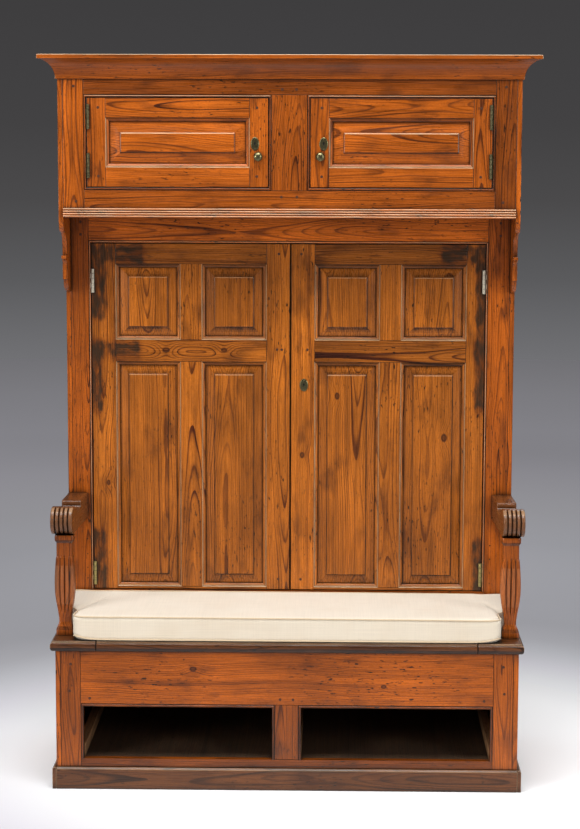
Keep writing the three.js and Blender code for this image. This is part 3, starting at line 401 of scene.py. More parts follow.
def cotton_canvas(seam=False):
    """Unbleached cotton canvas, plain woven: matt and cream, with threads a little uneven in colour.
    The real threads are about 0.6 mm apart; they are drawn 2.4 mm apart, because finer ones don't show."""
    thread = 2.4 * MM

    def paint(node):
        place = node("TexCoord", out="Object")
        threads, slub = [], []
        for across, run in (((1, 0, 0), (6, 420, 420)), ((0, 1, 1), (420, 6, 6))):
            wave = node("Math.MULTIPLY", node("VectorMath.DOT_PRODUCT", place, across), 2 * math.pi / thread)
            threads.append(node("Math.SINE", wave))
            slub.append(node("TexNoise", node("VectorMath.MULTIPLY", place, run), 1, 2))
        weave, slub = node("Math.MULTIPLY", *threads), node("Math.ADD", *slub)
        # Its upright band is painted darker and yellower than its top.
        soil = node(
            "Math.ADD", node("MapRange", node("TexNoise", place, 7, 4, 0.6), 0.42, 0.72, 0, 0.2),
            node("MapRange", node("SeparateXYZ", place, out="Z"), 0.535, 0.545, 0.3, 0),
        )
        cloth = linear("#d9c3a2") if seam else colours().canvas
        colour = node("Mix", soil, cloth, linear("#d8c3a6"), data_type="RGBA")
        colour = node("VectorMath.SCALE", colour, node("MapRange", slub, 0.7, 1.3, 0.94, 1.04))
        colour = node("VectorMath.SCALE", colour, node("MapRange", weave, -1, 1, 0.97, 1.01))
        relief = node("Math.MULTIPLY_ADD", weave, 0.35, slub)
        return {
            "Roughness": 0.92, "Sheen Weight": 0.25, "Sheen Roughness": 0.5, "Specular IOR Level": 0.25,
            "Base Color": colour, "Normal": node("Bump", Strength=0.3, Distance=0.3 * MM, Height=relief),
        }

    return material("cotton_canvas_welt" if seam else "cotton_canvas_woven", paint)


def heart_of(low, high, along, draw):
    """Where the tree's heart ran beside a board: behind its face for arches, off to a side for stripes."""
    size = high - low
    thin, wide = sorted((axis for axis in range(3) if axis != along), key=lambda axis: size[axis])
    heart = (low + high) / 2
    if draw.random() < 0.68:
        heart[thin] += draw.choice((-1, 1)) * draw.uniform(0.012, 0.040)
        heart[wide] += draw.uniform(-0.3, 0.3) * min(size[wide], 0.2)
    else:
        heart[thin] += draw.uniform(-0.06, 0.06)
        heart[wide] += draw.choice((-1, 1)) * draw.uniform(0.09, 0.17)
    heart[along] = draw.uniform(-9, 9)
    return heart


def spans(node):
    """A CAD node's limits along X, Y and Z."""
    return list(zip(*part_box(node)))


def put(name, mesh, body, nodes, materials, smooth=0):
    """Makes a piece that rides on a body and stands for CAD nodes. It is flat shaded, or smooth where its faces
    meet at less than so many degrees."""
    data = bpy.data.meshes.new(name)
    mesh.to_mesh(data)
    mesh.free()
    for material in materials:
        data.materials.append(material)
    piece = bpy.data.objects.new(name, data)
    bpy.context.scene.collection.objects.link(piece)
    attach(piece, body)
    if nodes:
        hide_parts(*nodes)
    if smooth:
        data.shade_smooth()
        data.set_sharp_from_angle(angle=math.radians(smooth))
        piece.modifiers.new("weighted", "WEIGHTED_NORMAL").keep_sharp = True
    else:
        data.shade_flat()
    return piece


def mark_timber(piece, node, along, seed, tone):
    piece["heart"] = list(heart_of(*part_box(node), along, random.Random(seed)))
    piece["tone"] = tone


def dress(node, material, along, seed, tone=0.0):
    """Gives a CAD node that keeps its shape its finish."""
    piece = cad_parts[node]
    for slot in piece.material_slots:
        slot.link = "OBJECT"
        slot.material = material
    mark_timber(piece, node, along, seed, tone)


def circle(sides, start=0.0):
    """Cosine and sine of even turns."""
    turns = [start + math.tau * i / sides for i in range(sides)]
    return [(math.cos(turn), math.sin(turn)) for turn in turns]


def join_rings(mesh, rings, ends=True, closed=False):
    """Joins rings of points into a form, closed at its two ends or round on itself, and gives back its
    strips, ring by ring, and its ends. A ring of one point is a tip."""
    loops = [[mesh.verts.new(place) for place in ring] for ring in rings]
    strips = []
    for loop, after in zip(loops, loops[1:] + loops[:closed]):
        sides = max(len(loop), len(after))
        around = [(loop[i % len(loop)], after[i % len(after)]) for i in range(sides)]
        strips.append([
            mesh.faces.new(list(dict.fromkeys((near[0], far[0], far[1], near[1]))))
            for near, far in zip(around, around[1:] + around[:1])
        ])
    caps = [mesh.faces.new(loops[0][::-1]), mesh.faces.new(loops[-1])] if ends and not closed else []
    bmesh.ops.recalc_face_normals(mesh, faces=[*sum(strips, []), *caps])
    return strips, caps


class Joinery:
    """One mesh gathered from boards, mouldings and pegs, each with its own grain and tone."""

    def __init__(self, seed):
        self.draw = random.Random(seed)
        self.mesh = bmesh.new()
        layers = self.mesh.faces.layers
        self.heart = layers.float_vector.new("heart")
        self.tone, self.dirt = layers.float.new("tone"), layers.float.new("dirt")
        self.made = layers.int.new("made")
        self.materials = []

    def claim(self, material, heart, tone):
        """Gives a finish, heart and tone to the faces made since the last claim."""
        if material not in self.materials:
            self.materials.append(material)
        for face in self.mesh.faces:
            if not face[self.made]:
                face[self.made] = 1
                face.material_index = self.materials.index(material)
                face[self.heart], face[self.tone] = heart, tone

    def board(self, x, y, z, material, along, tone=0.0, dark_at=()):
        """One board, its edges eased round by rubbing. dark_at holds X and Z values where its edge meets a gap;
        there the rounded edge is painted near black as the gap's shade, and elsewhere it is painted somewhat
        darker.
        """
        low, high = (Vector(corner) for corner in zip(x, y, z))
        made = slab(self.mesh, x, y, z)["verts"]
        ease = sizes().arris
        arris = bmesh.ops.bevel(
            self.mesh, geom=list({edge for vert in made for edge in vert.link_edges}), offset=ease, segments=2,
            profile=0.5, affect="EDGES",
        )["faces"]
        for face in arris:
            middle = face.calc_center_median()
            # Painted shade: near a gap the rounded edge is near black.
            face[self.dirt] = 1.0 if any(abs(middle[axis] - at) < 2 * ease for axis, at in dark_at) else 0.45
        timber = material, heart_of(low, high, along, self.draw), tone + self.draw.uniform(-0.04, 0.04)
        self.claim(*timber)
        return timber

    def moulding(self, path, face, section, timbers, closed, wear=((1, 0),) * 4):
        """Runs a closed section along a path in X and Z. A path point holds its place and its outward mitre; a
        section point holds its distance outward, its depth behind the face and the mark on the strip that
        follows it: above 0 dirt and painted shade, below 0 rubbing and a painted highlight. The last argument
        says for each side how much of that rubbing and highlight it keeps and how much painted shade and dirt
        it gains."""
        loops = [
            [self.mesh.verts.new((x + out_x * u, face + depth, z + out_z * u)) for x, z, out_x, out_z in path]
            for u, depth, _ in section
        ]
        made = []
        for span in range(len(path) if closed else len(path) - 1):
            near, far = span, (span + 1) % len(path)
            # Each side keeps part of its painted highlight and gains painted shade, as light falls on it.
            kept, soil = wear[span]
            for (_, _, dirt), loop, after in zip(section, loops, loops[1:] + loops[:1]):
                strip = self.mesh.faces.new((loop[near], loop[far], after[far], after[near]))
                dirt = dirt * kept if dirt < 0 else dirt
                strip[self.dirt] = dirt + soil * (1 - max(dirt, 0))
                made.append(strip)
            self.claim(*timbers[span])
        if not closed:
            made.append(self.mesh.faces.new([loop[0] for loop in loops]))
            made.append(self.mesh.faces.new([loop[-1] for loop in reversed(loops)]))
            self.claim(*timbers[-1])
        bmesh.ops.recalc_face_normals(self.mesh, faces=made)

    def mortise(self, x, bolt, bottom):
        """Cuts the hole for a lock's bolt into the flat edge at x, as deep as bottom."""
        spare = 0.4 * MM
        _, y, z = ((low - spare, high + spare) for low, high in spans(bolt))
        self.mesh.normal_update()

        def holds_hole(face):
            across, deep, up = zip(*(vert.co for vert in face.verts))
            return (
                len(up) == 4 and max(abs(place - x) for place in across) < 0.05 * MM
                and min(deep) < y[0] and max(deep) > y[1] and min(up) < z[0] and max(up) > z[1]
            )

        edge = next(face for face in self.mesh.faces if holds_hole(face))
        middle = edge.calc_center_median()
        around = list(edge.verts)
        hole = [(y[vert.co.y > middle.y], z[vert.co.z > middle.z]) for vert in around]
        mouth, deep = ([self.mesh.verts.new((at, *place)) for place in hole] for at in (x, bottom))
        made = [self.mesh.faces.new(deep)]
        for i in range(4):
            j = (i + 1) % 4
            made.append(self.mesh.faces.new((around[i], around[j], mouth[j], mouth[i])))
            made.append(self.mesh.faces.new((mouth[i], mouth[j], deep[j], deep[i])))
        for face in made:
            face.copy_from(edge)
        self.mesh.faces.remove(edge)

    def disc(self, x, z, face, radius, proud, material, sides=12):
        """A peg's or nail's head: a low irregular disc standing on a face that looks towards -Y."""
        turn = self.draw.uniform(0, math.pi)
        rim = [(c * (1 + 0.06 * math.sin(3 * i + turn)), s) for i, (c, s) in enumerate(circle(sides, turn))]
        strips, _ = join_rings(self.mesh, [
            [(x + radius * share * c, face + depth, z + radius * share * s) for c, s in rim]
            for share, depth in ((1.0, 0.5 * MM), (0.98, -proud * 0.6), (0.72, -proud))
        ])
        for side in strips[0]:
            side[self.dirt] = 1.0
        self.claim(material, Vector((x, 0, z)), 0.0)

    def pegs(self, face, places, signs=(-1, 1)):
        """Pegs at X and Z places on a face, mirrored by each sign."""
        for sign in signs:
            for x, z in places:
                self.disc(sign * x, z, face, sizes().peg, 0.6 * MM, oak_peg())

    def framework(self, x, y, z, columns, rows, finish, tones, inset=0.0, **marks):
        """Stiles that run through, rails between them and muntins between the rails, round openings. Gives
        back each opening's timbers: below, right, above and left."""
        upright, level = pine(finish, Z, **marks), pine(finish, X, **marks)
        gap = sizes().shoulder
        outer = [(X, x[0]), (X, x[1]), (Z, z[0]), (Z, z[1])]

        def member(across, up, material, along, part, dark_at=outer):
            tone = tones.get(part, tones.get("all", 0.0))
            return self.board(across, y, up, material, along, tone, dark_at)

        left_in, right_in = columns[0][0] - inset, columns[-1][1] + inset
        left = member((x[0], left_in - gap), z, upright, Z, "left")
        edges = [z[0], *(limit for row in rows for limit in row), z[1]]
        rails = []
        for i in range(len(rows) + 1):
            up = edges[2 * i] + (inset if i else 0), edges[2 * i + 1] - (inset if i < len(rows) else 0)
            rails.append(member((left_in + gap, right_in - gap), up, level, X, f"rail{i}"))
        muntins = []
        for row in rows:
            up = row[0] - inset + gap, row[1] + inset - gap
            between = [(a[1] + inset, b[0] - inset) for a, b in zip(columns, columns[1:])]
            muntins.append([member(across, up, upright, Z, "muntin", ()) for across in between])
        right = member((right_in + gap, x[1]), z, upright, Z, "right")
        return {
            (i, j): (rails[i], [*muntins[i], right][j], rails[i + 1], [left, *muntins[i]][j])
            for i in range(len(rows)) for j in range(len(columns))
        }

    def finish(self, name, body, slot, node):
        self.mesh.faces.layers.int.remove(self.made)
        return put(name, self.mesh, body, (node,), self.materials, 32)


def slab(mesh, x, y, z):
    low, high = (Vector(corner) for corner in zip(x, y, z))
    return bmesh.ops.create_cube(mesh, size=1, matrix=Matrix.LocRotScale((low + high) / 2, None, high - low))


def ring_path(x, z):
    return [(x[0], z[0], -1, -1), (x[1], z[0], 1, -1), (x[1], z[1], 1, 1), (x[0], z[1], -1, 1)]


def arch_path(x, z):
    """Up the left side, over the head and down the right."""
    return [(x[0], z[0], -1, 0), (x[0], z[1], -1, 1), (x[1], z[1], 1, 1), (x[1], z[0], 1, 0)]


def bead_section(width, proud, back):
    """A round nose, painted bright on top as a highlight, with a quirk beside the board painted dark as shade
    and dirt, from the opening's edge outward.
    """
    half = (width - 1.7 * MM) / 2
    foot = half - proud + 1.2 * MM
    nose = []
    for i, dirt in enumerate((1.0, 1.0, 0.8, 0.2, -0.35, -0.6, 0.1, 0.9, 1.0)):
        turn = math.pi * i / 8
        nose.append((half - half * math.cos(turn), half - proud - half * math.sin(turn), dirt))
    return [(0, back, 1.0), *nose, (2 * half, foot, 1.0), (width, foot, 1.0), (width, back, 1.0)]


def sticking_section():
    """A quirked ovolo worked on the frame's edge, from the panel outward to the face."""
    lip, width = sizes().lip, sizes().sticking
    quirk, arris, start = 0.74 * width, 0.83 * width, 0.5 * MM
    deep, shallow = 7.4 * MM, 0.9 * MM
    curve = []
    # The ovolo is painted dark near the panel and bright towards its quirk as a highlight; the quirk is painted
    # dark as shade and dirt, and the arris bright as a highlight.
    for i, dirt in enumerate((0.7, 0.3, 0.1, 0.0, -0.15, -0.4, 0.9)):
        turn = math.pi / 2 * i / 6
        across = start + (quirk - start) * (1 - math.cos(turn))
        curve.append((across, shallow + (deep - shallow) * (1 - math.sin(turn)), dirt))
    return [
        (0, lip, 1.0), (0, deep, 0.9), *curve, (quirk + 0.3 * MM, 2.6 * MM, 1.0), (arris, 2.6 * MM, 0.9),
        (arris + 0.2 * MM, 0.7 * MM, -0.9), (arris + 0.9 * MM, 0.1 * MM, -0.8), (width, 0, 1.0),
        (width, lip, 1.0),
    ]


def panel_opening(node):
    """The opening that a panel fills, inside the groove that holds its tongue."""
    tongue = sizes().tongue
    x, _, z = spans(node)
    return (x[0] + tongue, x[1] - tongue), (z[0] + tongue, z[1] - tongue)


def cad_mesh(node):
    """A copy of a node's mesh with its split corners welded and its flat triangles joined."""
    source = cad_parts[node]
    mesh = bmesh.new()
    mesh.from_mesh(source.data)
    mesh.transform(source.matrix_world)
    bmesh.ops.remove_doubles(mesh, verts=mesh.verts, dist=0.00001)
    bmesh.ops.dissolve_limit(mesh, angle_limit=math.radians(1), verts=mesh.verts, edges=mesh.edges)
    return mesh


def eased(name, node, body, material, along, seed, tone, ease=None, rim=0.3, joints=()):
    """A worn copy of a CAD node: its sharp edges are eased round by rubbing, and it has a board's grain. joints
    holds the X values where it meets another board and dirt has gathered. The undersides of its rounded edges
    are painted dark as shade, and so, where joints are given, are all faces turned down; rim marks its other
    rounded edges, and below 0 paints them bright as rubbing and a highlight."""
    mesh = cad_mesh(node)
    dirt = mesh.faces.layers.float.new("dirt")
    sharp = [e for e in mesh.edges if len(e.link_faces) == 2 and e.calc_face_angle(0) > math.radians(28)]
    arris = bmesh.ops.bevel(
        mesh, geom=sharp, offset=ease or sizes().arris, segments=2, profile=0.5, affect="EDGES",
        clamp_overlap=True,
    )["faces"]
    for face in arris:
        # Painted shade: rounded edges that face down are dark.
        face[dirt] = rim if face.normal.z > -0.1 else 0.8
    for face in mesh.faces:
        if any(abs(face.calc_center_median().x - place) < 2.5 * MM for place in joints):
            face[dirt] = 1.0
        # Painted shade: with joints given, faces turned down are dark, as the gap under the lid's edge.
        elif joints and face.normal.z < -0.15:
            face[dirt] = 0.95
    mark_timber(put(name, mesh, body, (node,), [material], 32), node, along, seed, tone)


def backdrop_rays(node):
    """1 where the camera, metal or glass looks at the backdrop, and 0 where it only lights the settle."""
    rays = [node("LightPath", out=f"Is {kind} Ray") for kind in ("Camera", "Glossy", "Transmission")]
    return node("Math.MAXIMUM", node("Math.MAXIMUM", *rays[:2]), rays[2])


def ramp(*tones):
    """A ramp's stops, from places and written colours."""
    return [(place, linear(code)) for place, code in tones]


class SETTLE_OT_stage(bpy.types.Operator):
    """Floor, lamps, sky and camera"""

    bl_idname = "settle.stage"
    bl_label = "Floor, light and camera"

    def execute(self, context):
        context.scene.view_settings.view_transform = "Standard"
        self.floor(context.scene)
        self.sky(context.scene)
        self.lamps(context.scene)
        self.camera(context.scene)
        return {"FINISHED"}

    def floor(self, scene):
        """A sweep of matt paper, its colour painted pale round the settle and falling off to grey, as a pool of
        light.
        """
        mesh = bmesh.new()
        bmesh.ops.create_circle(mesh, cap_ends=True, segments=96, radius=FLOOR_RADIUS)
        floor = bpy.data.objects.new("floor", bpy.data.meshes.new("floor"))
        mesh.to_mesh(floor.data)
        mesh.free()
        scene.collection.objects.link(floor)

        def paint(node):
            reach = node("VectorMath.SUBTRACT", node("TexCoord", out="Object"), (0.2, 0.2, 0))
            reach = node("Math.DIVIDE", node("VectorMath.LENGTH", reach), FLOOR_RADIUS)
            # Painted pool of light: pale near the settle, greyer further out.
            colour = node("ValToRGB", reach, stops=ramp(
                (0.075, "#fafafb"), (0.095, "#ecedf0"), (0.109, "#e0dfe6"), (0.125, "#cfd0d6"),
                (0.141, "#bebec4"), (0.162, "#b0b0b6"), (0.2, "#acacb2"), (0.3, "#a8a8ae"),
                (0.374, "#aeadb2"), (0.478, "#bbb9c0"), (0.625, "#c4c2c9"), (0.785, "#c0bec4"),
                (0.914, "#b9b7bc"), (1.0, "#b4b2b7"),
            ))
            # The photograph's floor is burnt out to white beside the settle. That lights nothing here.
            glare = node("Math.MULTIPLY", node("MapRange", reach, 0.07, 0.14, 0.16, 0), backdrop_rays(node))
            return {
                "Roughness": 0.95, "Specular IOR Level": 0.1, "Base Color": colour, "Emission Color": colour,
                "Emission Strength": glare,
            }

        floor.data.materials.append(material("paper_matt", paint))
        floor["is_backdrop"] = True

    def sky(self, scene):
        """An even studio light, seen directly or in metal as the backdrop's grey."""
        scene.world = bpy.data.worlds.new("studio")
        scene.world.use_nodes = True
        scene.world.node_tree.nodes.clear()
        node = partial(add, scene.world.node_tree)
        height = node("SeparateXYZ", node("TexCoord", out="Generated"), out="Z")
        backdrop = node("ValToRGB", node("MapRange", height, -0.11, 0.06, 0, 1), stops=ramp(
            (0.0, "#717174"), (0.21, "#5b5b5d"), (0.42, "#4b4a4b"), (0.62, "#434243"), (1.0, "#3e3d3e")
        ))
        light, shown = node("Background", linear("#f2f3f5"), 0.38), node("Background", backdrop, 1)
        node("OutputWorld", node("MixShader", backdrop_rays(node), light, shown))

    def lamps(self, scene):
        """Two large soft boxes in front, one above and a weak one behind."""
        for name, place, width, height, power, code in (
            ("softbox_left", (-4.6, -4.3, 2.5), 1.8, 2.2, 124, "#fffaf4"),
            ("softbox_right", (4.6, -4.3, 2.3), 1.8, 2.0, 96, "#fffcf8"),
            ("softbox_top", (-0.2, -1.9, 4.7), 3.4, 1.6, 165, "#ffffff"),
            ("softbox_back", (0.6, 4.4, 3.8), 3.0, 2.0, 60, "#ffffff"),
        ):
            data = bpy.data.lights.new(name, "AREA")
            data.shape = "RECTANGLE"
            data.size, data.size_y, data.energy, data.color = width, height, power, linear(code)[:3]
            lamp = bpy.data.objects.new(name, data)
            lamp.location, lamp.rotation_mode = place, "QUATERNION"
            lamp.rotation_quaternion = (Vector((0, 0, 1.1)) - Vector(place)).to_track_quat("-Z", "Y")
            scene.collection.objects.link(lamp)

    def camera(self, scene):
        data = bpy.data.cameras.new("camera")
        data.sensor_width, data.lens = SENSOR, FOCAL_PIXELS * SENSOR / LONG_SIDE_PIXELS
        camera = bpy.data.objects.new("camera", data)
        east, north, level = math.sin(CAMERA_TURN), math.cos(CAMERA_TURN), math.cos(CAMERA_TILT)
        ahead = Vector((east * level, north * level, -math.sin(CAMERA_TILT)))
        right = Vector((north, -east, 0))
        rolled = Matrix.Rotation(-CAMERA_ROLL, 3, ahead)
        basis = Matrix((rolled @ right, rolled @ right.cross(ahead), -ahead)).transposed()
        camera.matrix_world = Matrix.Translation(CAMERA_PLACE) @ basis.to_4x4()
        scene.collection.objects.link(camera)
        scene.camera = camera


# Bays under the seat: their outer and inner sides from the middle, foot and head, and the top of their floor
BAY_OUTER, BAY_INNER, BAY_FOOT, BAY_HEAD = 0.629, 0.045, 0.096, 0.261
BAY_FLOOR_TOP = 90 * MM

# Gap round each door
DOOR_GAP = 2 * MM

# How far a lock's bolt comes out, with a little room at its end
BOLT_THROW = 9.4 * MM

# Rubbing and painted highlight kept, and painted shade and dirt added, along the bottom, right, top and left of
# a panel's moulding: bright below and dark above, as light falls from above
STICKING_WEAR = ((1.0, 0.0), (0.8, 0.25), (0.0, 0.6), (0.9, 0.2))

# The same for the bead round each hood door
COCK_BEAD_WEAR = ((0.7, 0.5), (0.3, 0.6), (1.0, 0.1), (0.3, 0.5))

# Arm: its width, how much further out its front stands, and its scroll
ARM_WIDTH = 62 * MM
ARM_SPLAY = 11 * MM
SCROLL_HALF = 42 * MM
SCROLL_SPREAD = 5 * MM

# How much lighter or darker each panel of the tall doors is than its finish
PANEL_TONES = {
    "panel_left_lower_outer": 0.0, "panel_left_lower_inner": -0.08, "panel_left_upper_outer": 0.14,
    "panel_left_upper_inner": -0.12, "panel_right_lower_outer": -0.15, "panel_right_lower_inner": -0.08,
    "panel_right_upper_outer": -0.04, "panel_right_upper_inner": 0.02,
}


class SETTLE_OT_base(bpy.types.Operator):
    """Plinth, base frame with its two bays, and the floors inside"""

    bl_idname = "settle.base"
    bl_label = "Base and plinth"

    def execute(self, context):
        proud, bead = sizes().bay_bead_proud, sizes().bay_bead
        x, (face, back), z = spans("base_frame")
        face += proud
        work = Joinery(11)
        timbers = work.framework(
            x, (face, back), z, [(-BAY_OUTER - bead, -BAY_INNER + bead), (BAY_INNER - bead, BAY_OUTER + bead)],
            [(BAY_FOOT, BAY_HEAD + bead)], "waxed",
            {"left": -0.33, "right": -0.1, "rail0": -0.5, "rail1": -0.03, "muntin": -0.46}, knots=True,
        )
        section = bead_section(bead, proud, 14 * MM)
        for column, bay in enumerate(((-BAY_OUTER, -BAY_INNER), (BAY_INNER, BAY_OUTER))):
            _, right, top, left = timbers[0, column]
            path = arch_path(bay, (BAY_FOOT, BAY_HEAD))
            # The bays' beads are painted dark as the shade inside the bays, with little highlight kept.
            work.moulding(path, face, section, (left, top, right), False, ((0.15, 0.75),) * 3)
        work.pegs(face, ((0.668, 0.395), (0.672, 0.31), (0.666, 0.05), (0.02, 0.287), (0.61, 0.287)))
        work.finish("base_frame_members", "root", "pine", "base_frame")
        for side, along, seed in (("front", X, 21), ("left", Y, 22), ("right", Y, 22)):
            eased(
                f"plinth_{side}_board", f"plinth_{side}", "root", pine("handled", along), along,
                seed, -0.22, 1.6 * MM, -0.25,
            )
        self.bay_floor()
        dress("well_floor", pine("raw", X), X, 32, -0.3)
        return {"FINISHED"}

    def bay_floor(self):
        """Floor of the bays, painted dark as the shade inside them, and the guides that stand on it, painted
        paler where light reaches them.
        """
        mesh = cad_mesh("base_floor")
        tone = mesh.faces.layers.float.new("tone")
        for face in mesh.faces:
            # Painted shade on the floor inside the bays, and painted light on the guides.
            face[tone] = 0.6 if face.calc_center_median().z > BAY_FLOOR_TOP + 1 * MM else -0.74
        piece = put("bay_floor_boards", mesh, "root", ("base_floor",), [pine("raw", Y)])
        mark_timber(piece, "base_floor", Y, 31, 0.0)


class SETTLE_OT_carcase(bpy.types.Operator):
    """End boards, back boards and the boards inside the cupboards"""

    bl_idname = "settle.carcase"
    bl_label = "Carcase boards"

    def execute(self, context):
        for seed, side in ((41, "left"), (43, "right")):
            eased(f"end_plank_{side}", f"end_board_{side}", "root", pine("waxed", Z), Z, seed, -0.05)
        for node, along, seed, tone in (
            ("back_boards", Z, 44, -0.1), ("cupboard_floor", X, 45, -0.2), ("hood_floor", X, 46, -0.2),
            ("hood_top", X, 47, -0.2), ("hood_divider", Z, 48, -0.2),
        ):
            dress(node, pine("raw", along), along, seed, tone)
        return {"FINISHED"}


class SETTLE_OT_back(bpy.types.Operator):
    """Frame round the tall doors, with the bead of its doorway"""

    bl_idname = "settle.back"
    bl_label = "Back frame"

    def execute(self, context):
        proud, bead = sizes().door_bead_proud, sizes().door_bead
        x, (face, back), z = spans("back_frame")
        face += proud
        (left, _), _, (foot, head) = spans("tall_door_left")
        left, right = left - DOOR_GAP, spans("tall_door_right")[X][1] + DOOR_GAP
        foot, head = foot - DOOR_GAP, head + DOOR_GAP
        work = Joinery(51)
        timbers = work.framework(
            x, (face, back), z, [(left - bead, right + bead)], [(foot, head + bead)], "waxed",
            {"left": -0.1, "right": 0.0, "rail0": -0.3, "rail1": 0.4},
        )
        _, right_stile, top, left_stile = timbers[0, 0]
        path = arch_path((left, right), (foot, head))
        work.moulding(path, face, bead_section(bead, proud, 13 * MM), (left_stile, top, right_stile), False)
        work.pegs(face, ((0.668, 1.74), (0.668, 1.70)))
        for x, heights in ((-0.655, (0.665, 0.620, 0.585, 0.715)), (0.648, (0.700, 0.655, 0.610, 0.575))):
            for height in heights:
                work.disc(x, height, face, sizes().nail, 0.3 * MM, aged_metal("iron"), 8)
        work.finish("back_frame_members", "root", "pine", "back_frame")
        return {"FINISHED"}


def moulded_door(work, node, finish, tones, columns, rows, **marks):
    """A pegged door frame with an ovolo worked round each panel. Gives back its face."""
    lip, width = sizes().lip, sizes().sticking
    x, (face, back), z = spans(node)
    timbers = work.framework(x, (face, back), z, columns, rows, finish, tones, width, **marks)
    groove, depth = lip + 6.6 * MM, back - face
    rear = [(0, groove, 1.0), (0, depth, 0.0), (width, depth, 1.0), (width, groove, 1.0)]
    for (i, j), around in timbers.items():
        for section in (sticking_section(), rear):
            work.moulding(ring_path(columns[j], rows[i]), face, section, around, True, STICKING_WEAR)
    return face


def fielded(node, body, finish, along, bevel, seed, tone, above=0.0, below=0.2, shine=0.9, **marks):
    """A raised and fielded panel: a tongue all round, a sloping margin, a small rounded step and a flat field,
    with painted shade and dirt along the step and on the margin above and below the field, and its top edge
    painted bright as a highlight."""
    (x0, x1), (face, _), (z0, z1) = spans(node)
    face -= 1 * MM
    field = sizes().tongue / MM + bevel / MM
    # Each step's inset and depth in mm, with the mark on the strip after it, above 0 painted shade and dirt and
    # below 0 a painted highlight: below, right, above and left
    section = (
        (0, 16, (0, 0, 0, 0)), (0, 10, (0.5, 0.5, 0.5, 0.5)), (8.2, 9.9, (0, 0, 0, 0)),
        (field - 19, 7.2, (0.55 * below, 0.05, 0.4 * above, 0.05)),
        (field - 12, 5.8, (below, 0.12, above, 0.12)),
        (field - 5, 4.5, (1, 0.95, 0.8, 0.9)), (field - 4.4, 2.8, (1, 0.95, 0.4, 0.8)),
        (field - 3.4, 1.9, (0.95, 0.8, -0.4 * shine, 0.5)),
        (field - 1.6, 1.2, (0.1, 0.25, -0.95 * shine, 0.15)), (field - 0.2, 1.0, ()),
    )
    rings = []
    for inset, depth, _ in section:
        inset, y = inset * MM, face + depth * MM
        rings.append([
            (x0 + inset, y, z0 + inset), (x1 - inset, y, z0 + inset), (x1 - inset, y, z1 - inset),
            (x0 + inset, y, z1 - inset),
        ])
    mesh = bmesh.new()
    dirt = mesh.faces.layers.float.new("dirt")
    for (_, _, laid), strips in zip(section, join_rings(mesh, rings)[0]):
        for strip, amount in zip(strips, laid):
            strip[dirt] = amount
    piece = put(f"fielded_{node}", mesh, body, (node,), [pine(finish, along, **marks)])
    mark_timber(piece, node, along, seed, tone)


class SETTLE_OT_tall_doors(bpy.types.Operator):
    """Two tall doors, each with two short panels over two long ones"""

    bl_idname = "settle.tall_doors"
    bl_label = "Tall doors"

    def execute(self, context):
        # Each door's top rail (rail2) is painted darker, partly as the hood's shade and partly as dirt.
        left = {"left": 0.04, "rail1": 0.06, "rail2": -0.3}
        right = {"left": 0.26, "right": 0.04, "rail1": -0.34, "rail2": -0.3, "muntin": -0.05}
        for side, sign, seed, tones, pegs in (
            ("left", -1, 61, left, (0.041, 0.026)), ("right", 1, 62, right, (0.056,))
        ):
            names = [
                f"panel_{side}_{part}" for part in ("lower_inner", "lower_outer", "upper_inner", "upper_outer")
            ]
            openings = [panel_opening(name) for name in names]
            columns, rows = sorted({x for x, _ in openings[:2]}), sorted({z for _, z in openings[::2]})
            node, bolt = f"tall_door_{side}", "tall_lock_bolt"
            work = Joinery(seed)
            face = moulded_door(work, node, "door", tones, columns, rows, knots=True, stains=True)
            work.pegs(face, [*((x, 1.334) for x in pegs), (0.036, 1.640), (0.036, 0.585)], (sign,))
            shut, thrown = spans(node)[X], spans(bolt)[X]
            if side == "left":
                work.mortise(shut[1], bolt, thrown[0] - BOLT_THROW)
            else:
                work.mortise(shut[0], bolt, thrown[1])
            work.finish(f"{node}_members", node, "golden_pine", node)
            for i, name in enumerate(names):
                # Painted shade above and below each field, heaviest under the upper panels, and a weak painted
                # highlight on its top edge.
                fielded(
                    name, node, "door", Z, sizes().bevel, 10 * seed + i, PANEL_TONES[name],
                    above=0.5, below=0.8 if "upper" in name else 0.3, shine=0.4, knots=True,
                )
        return {"FINISHED"}


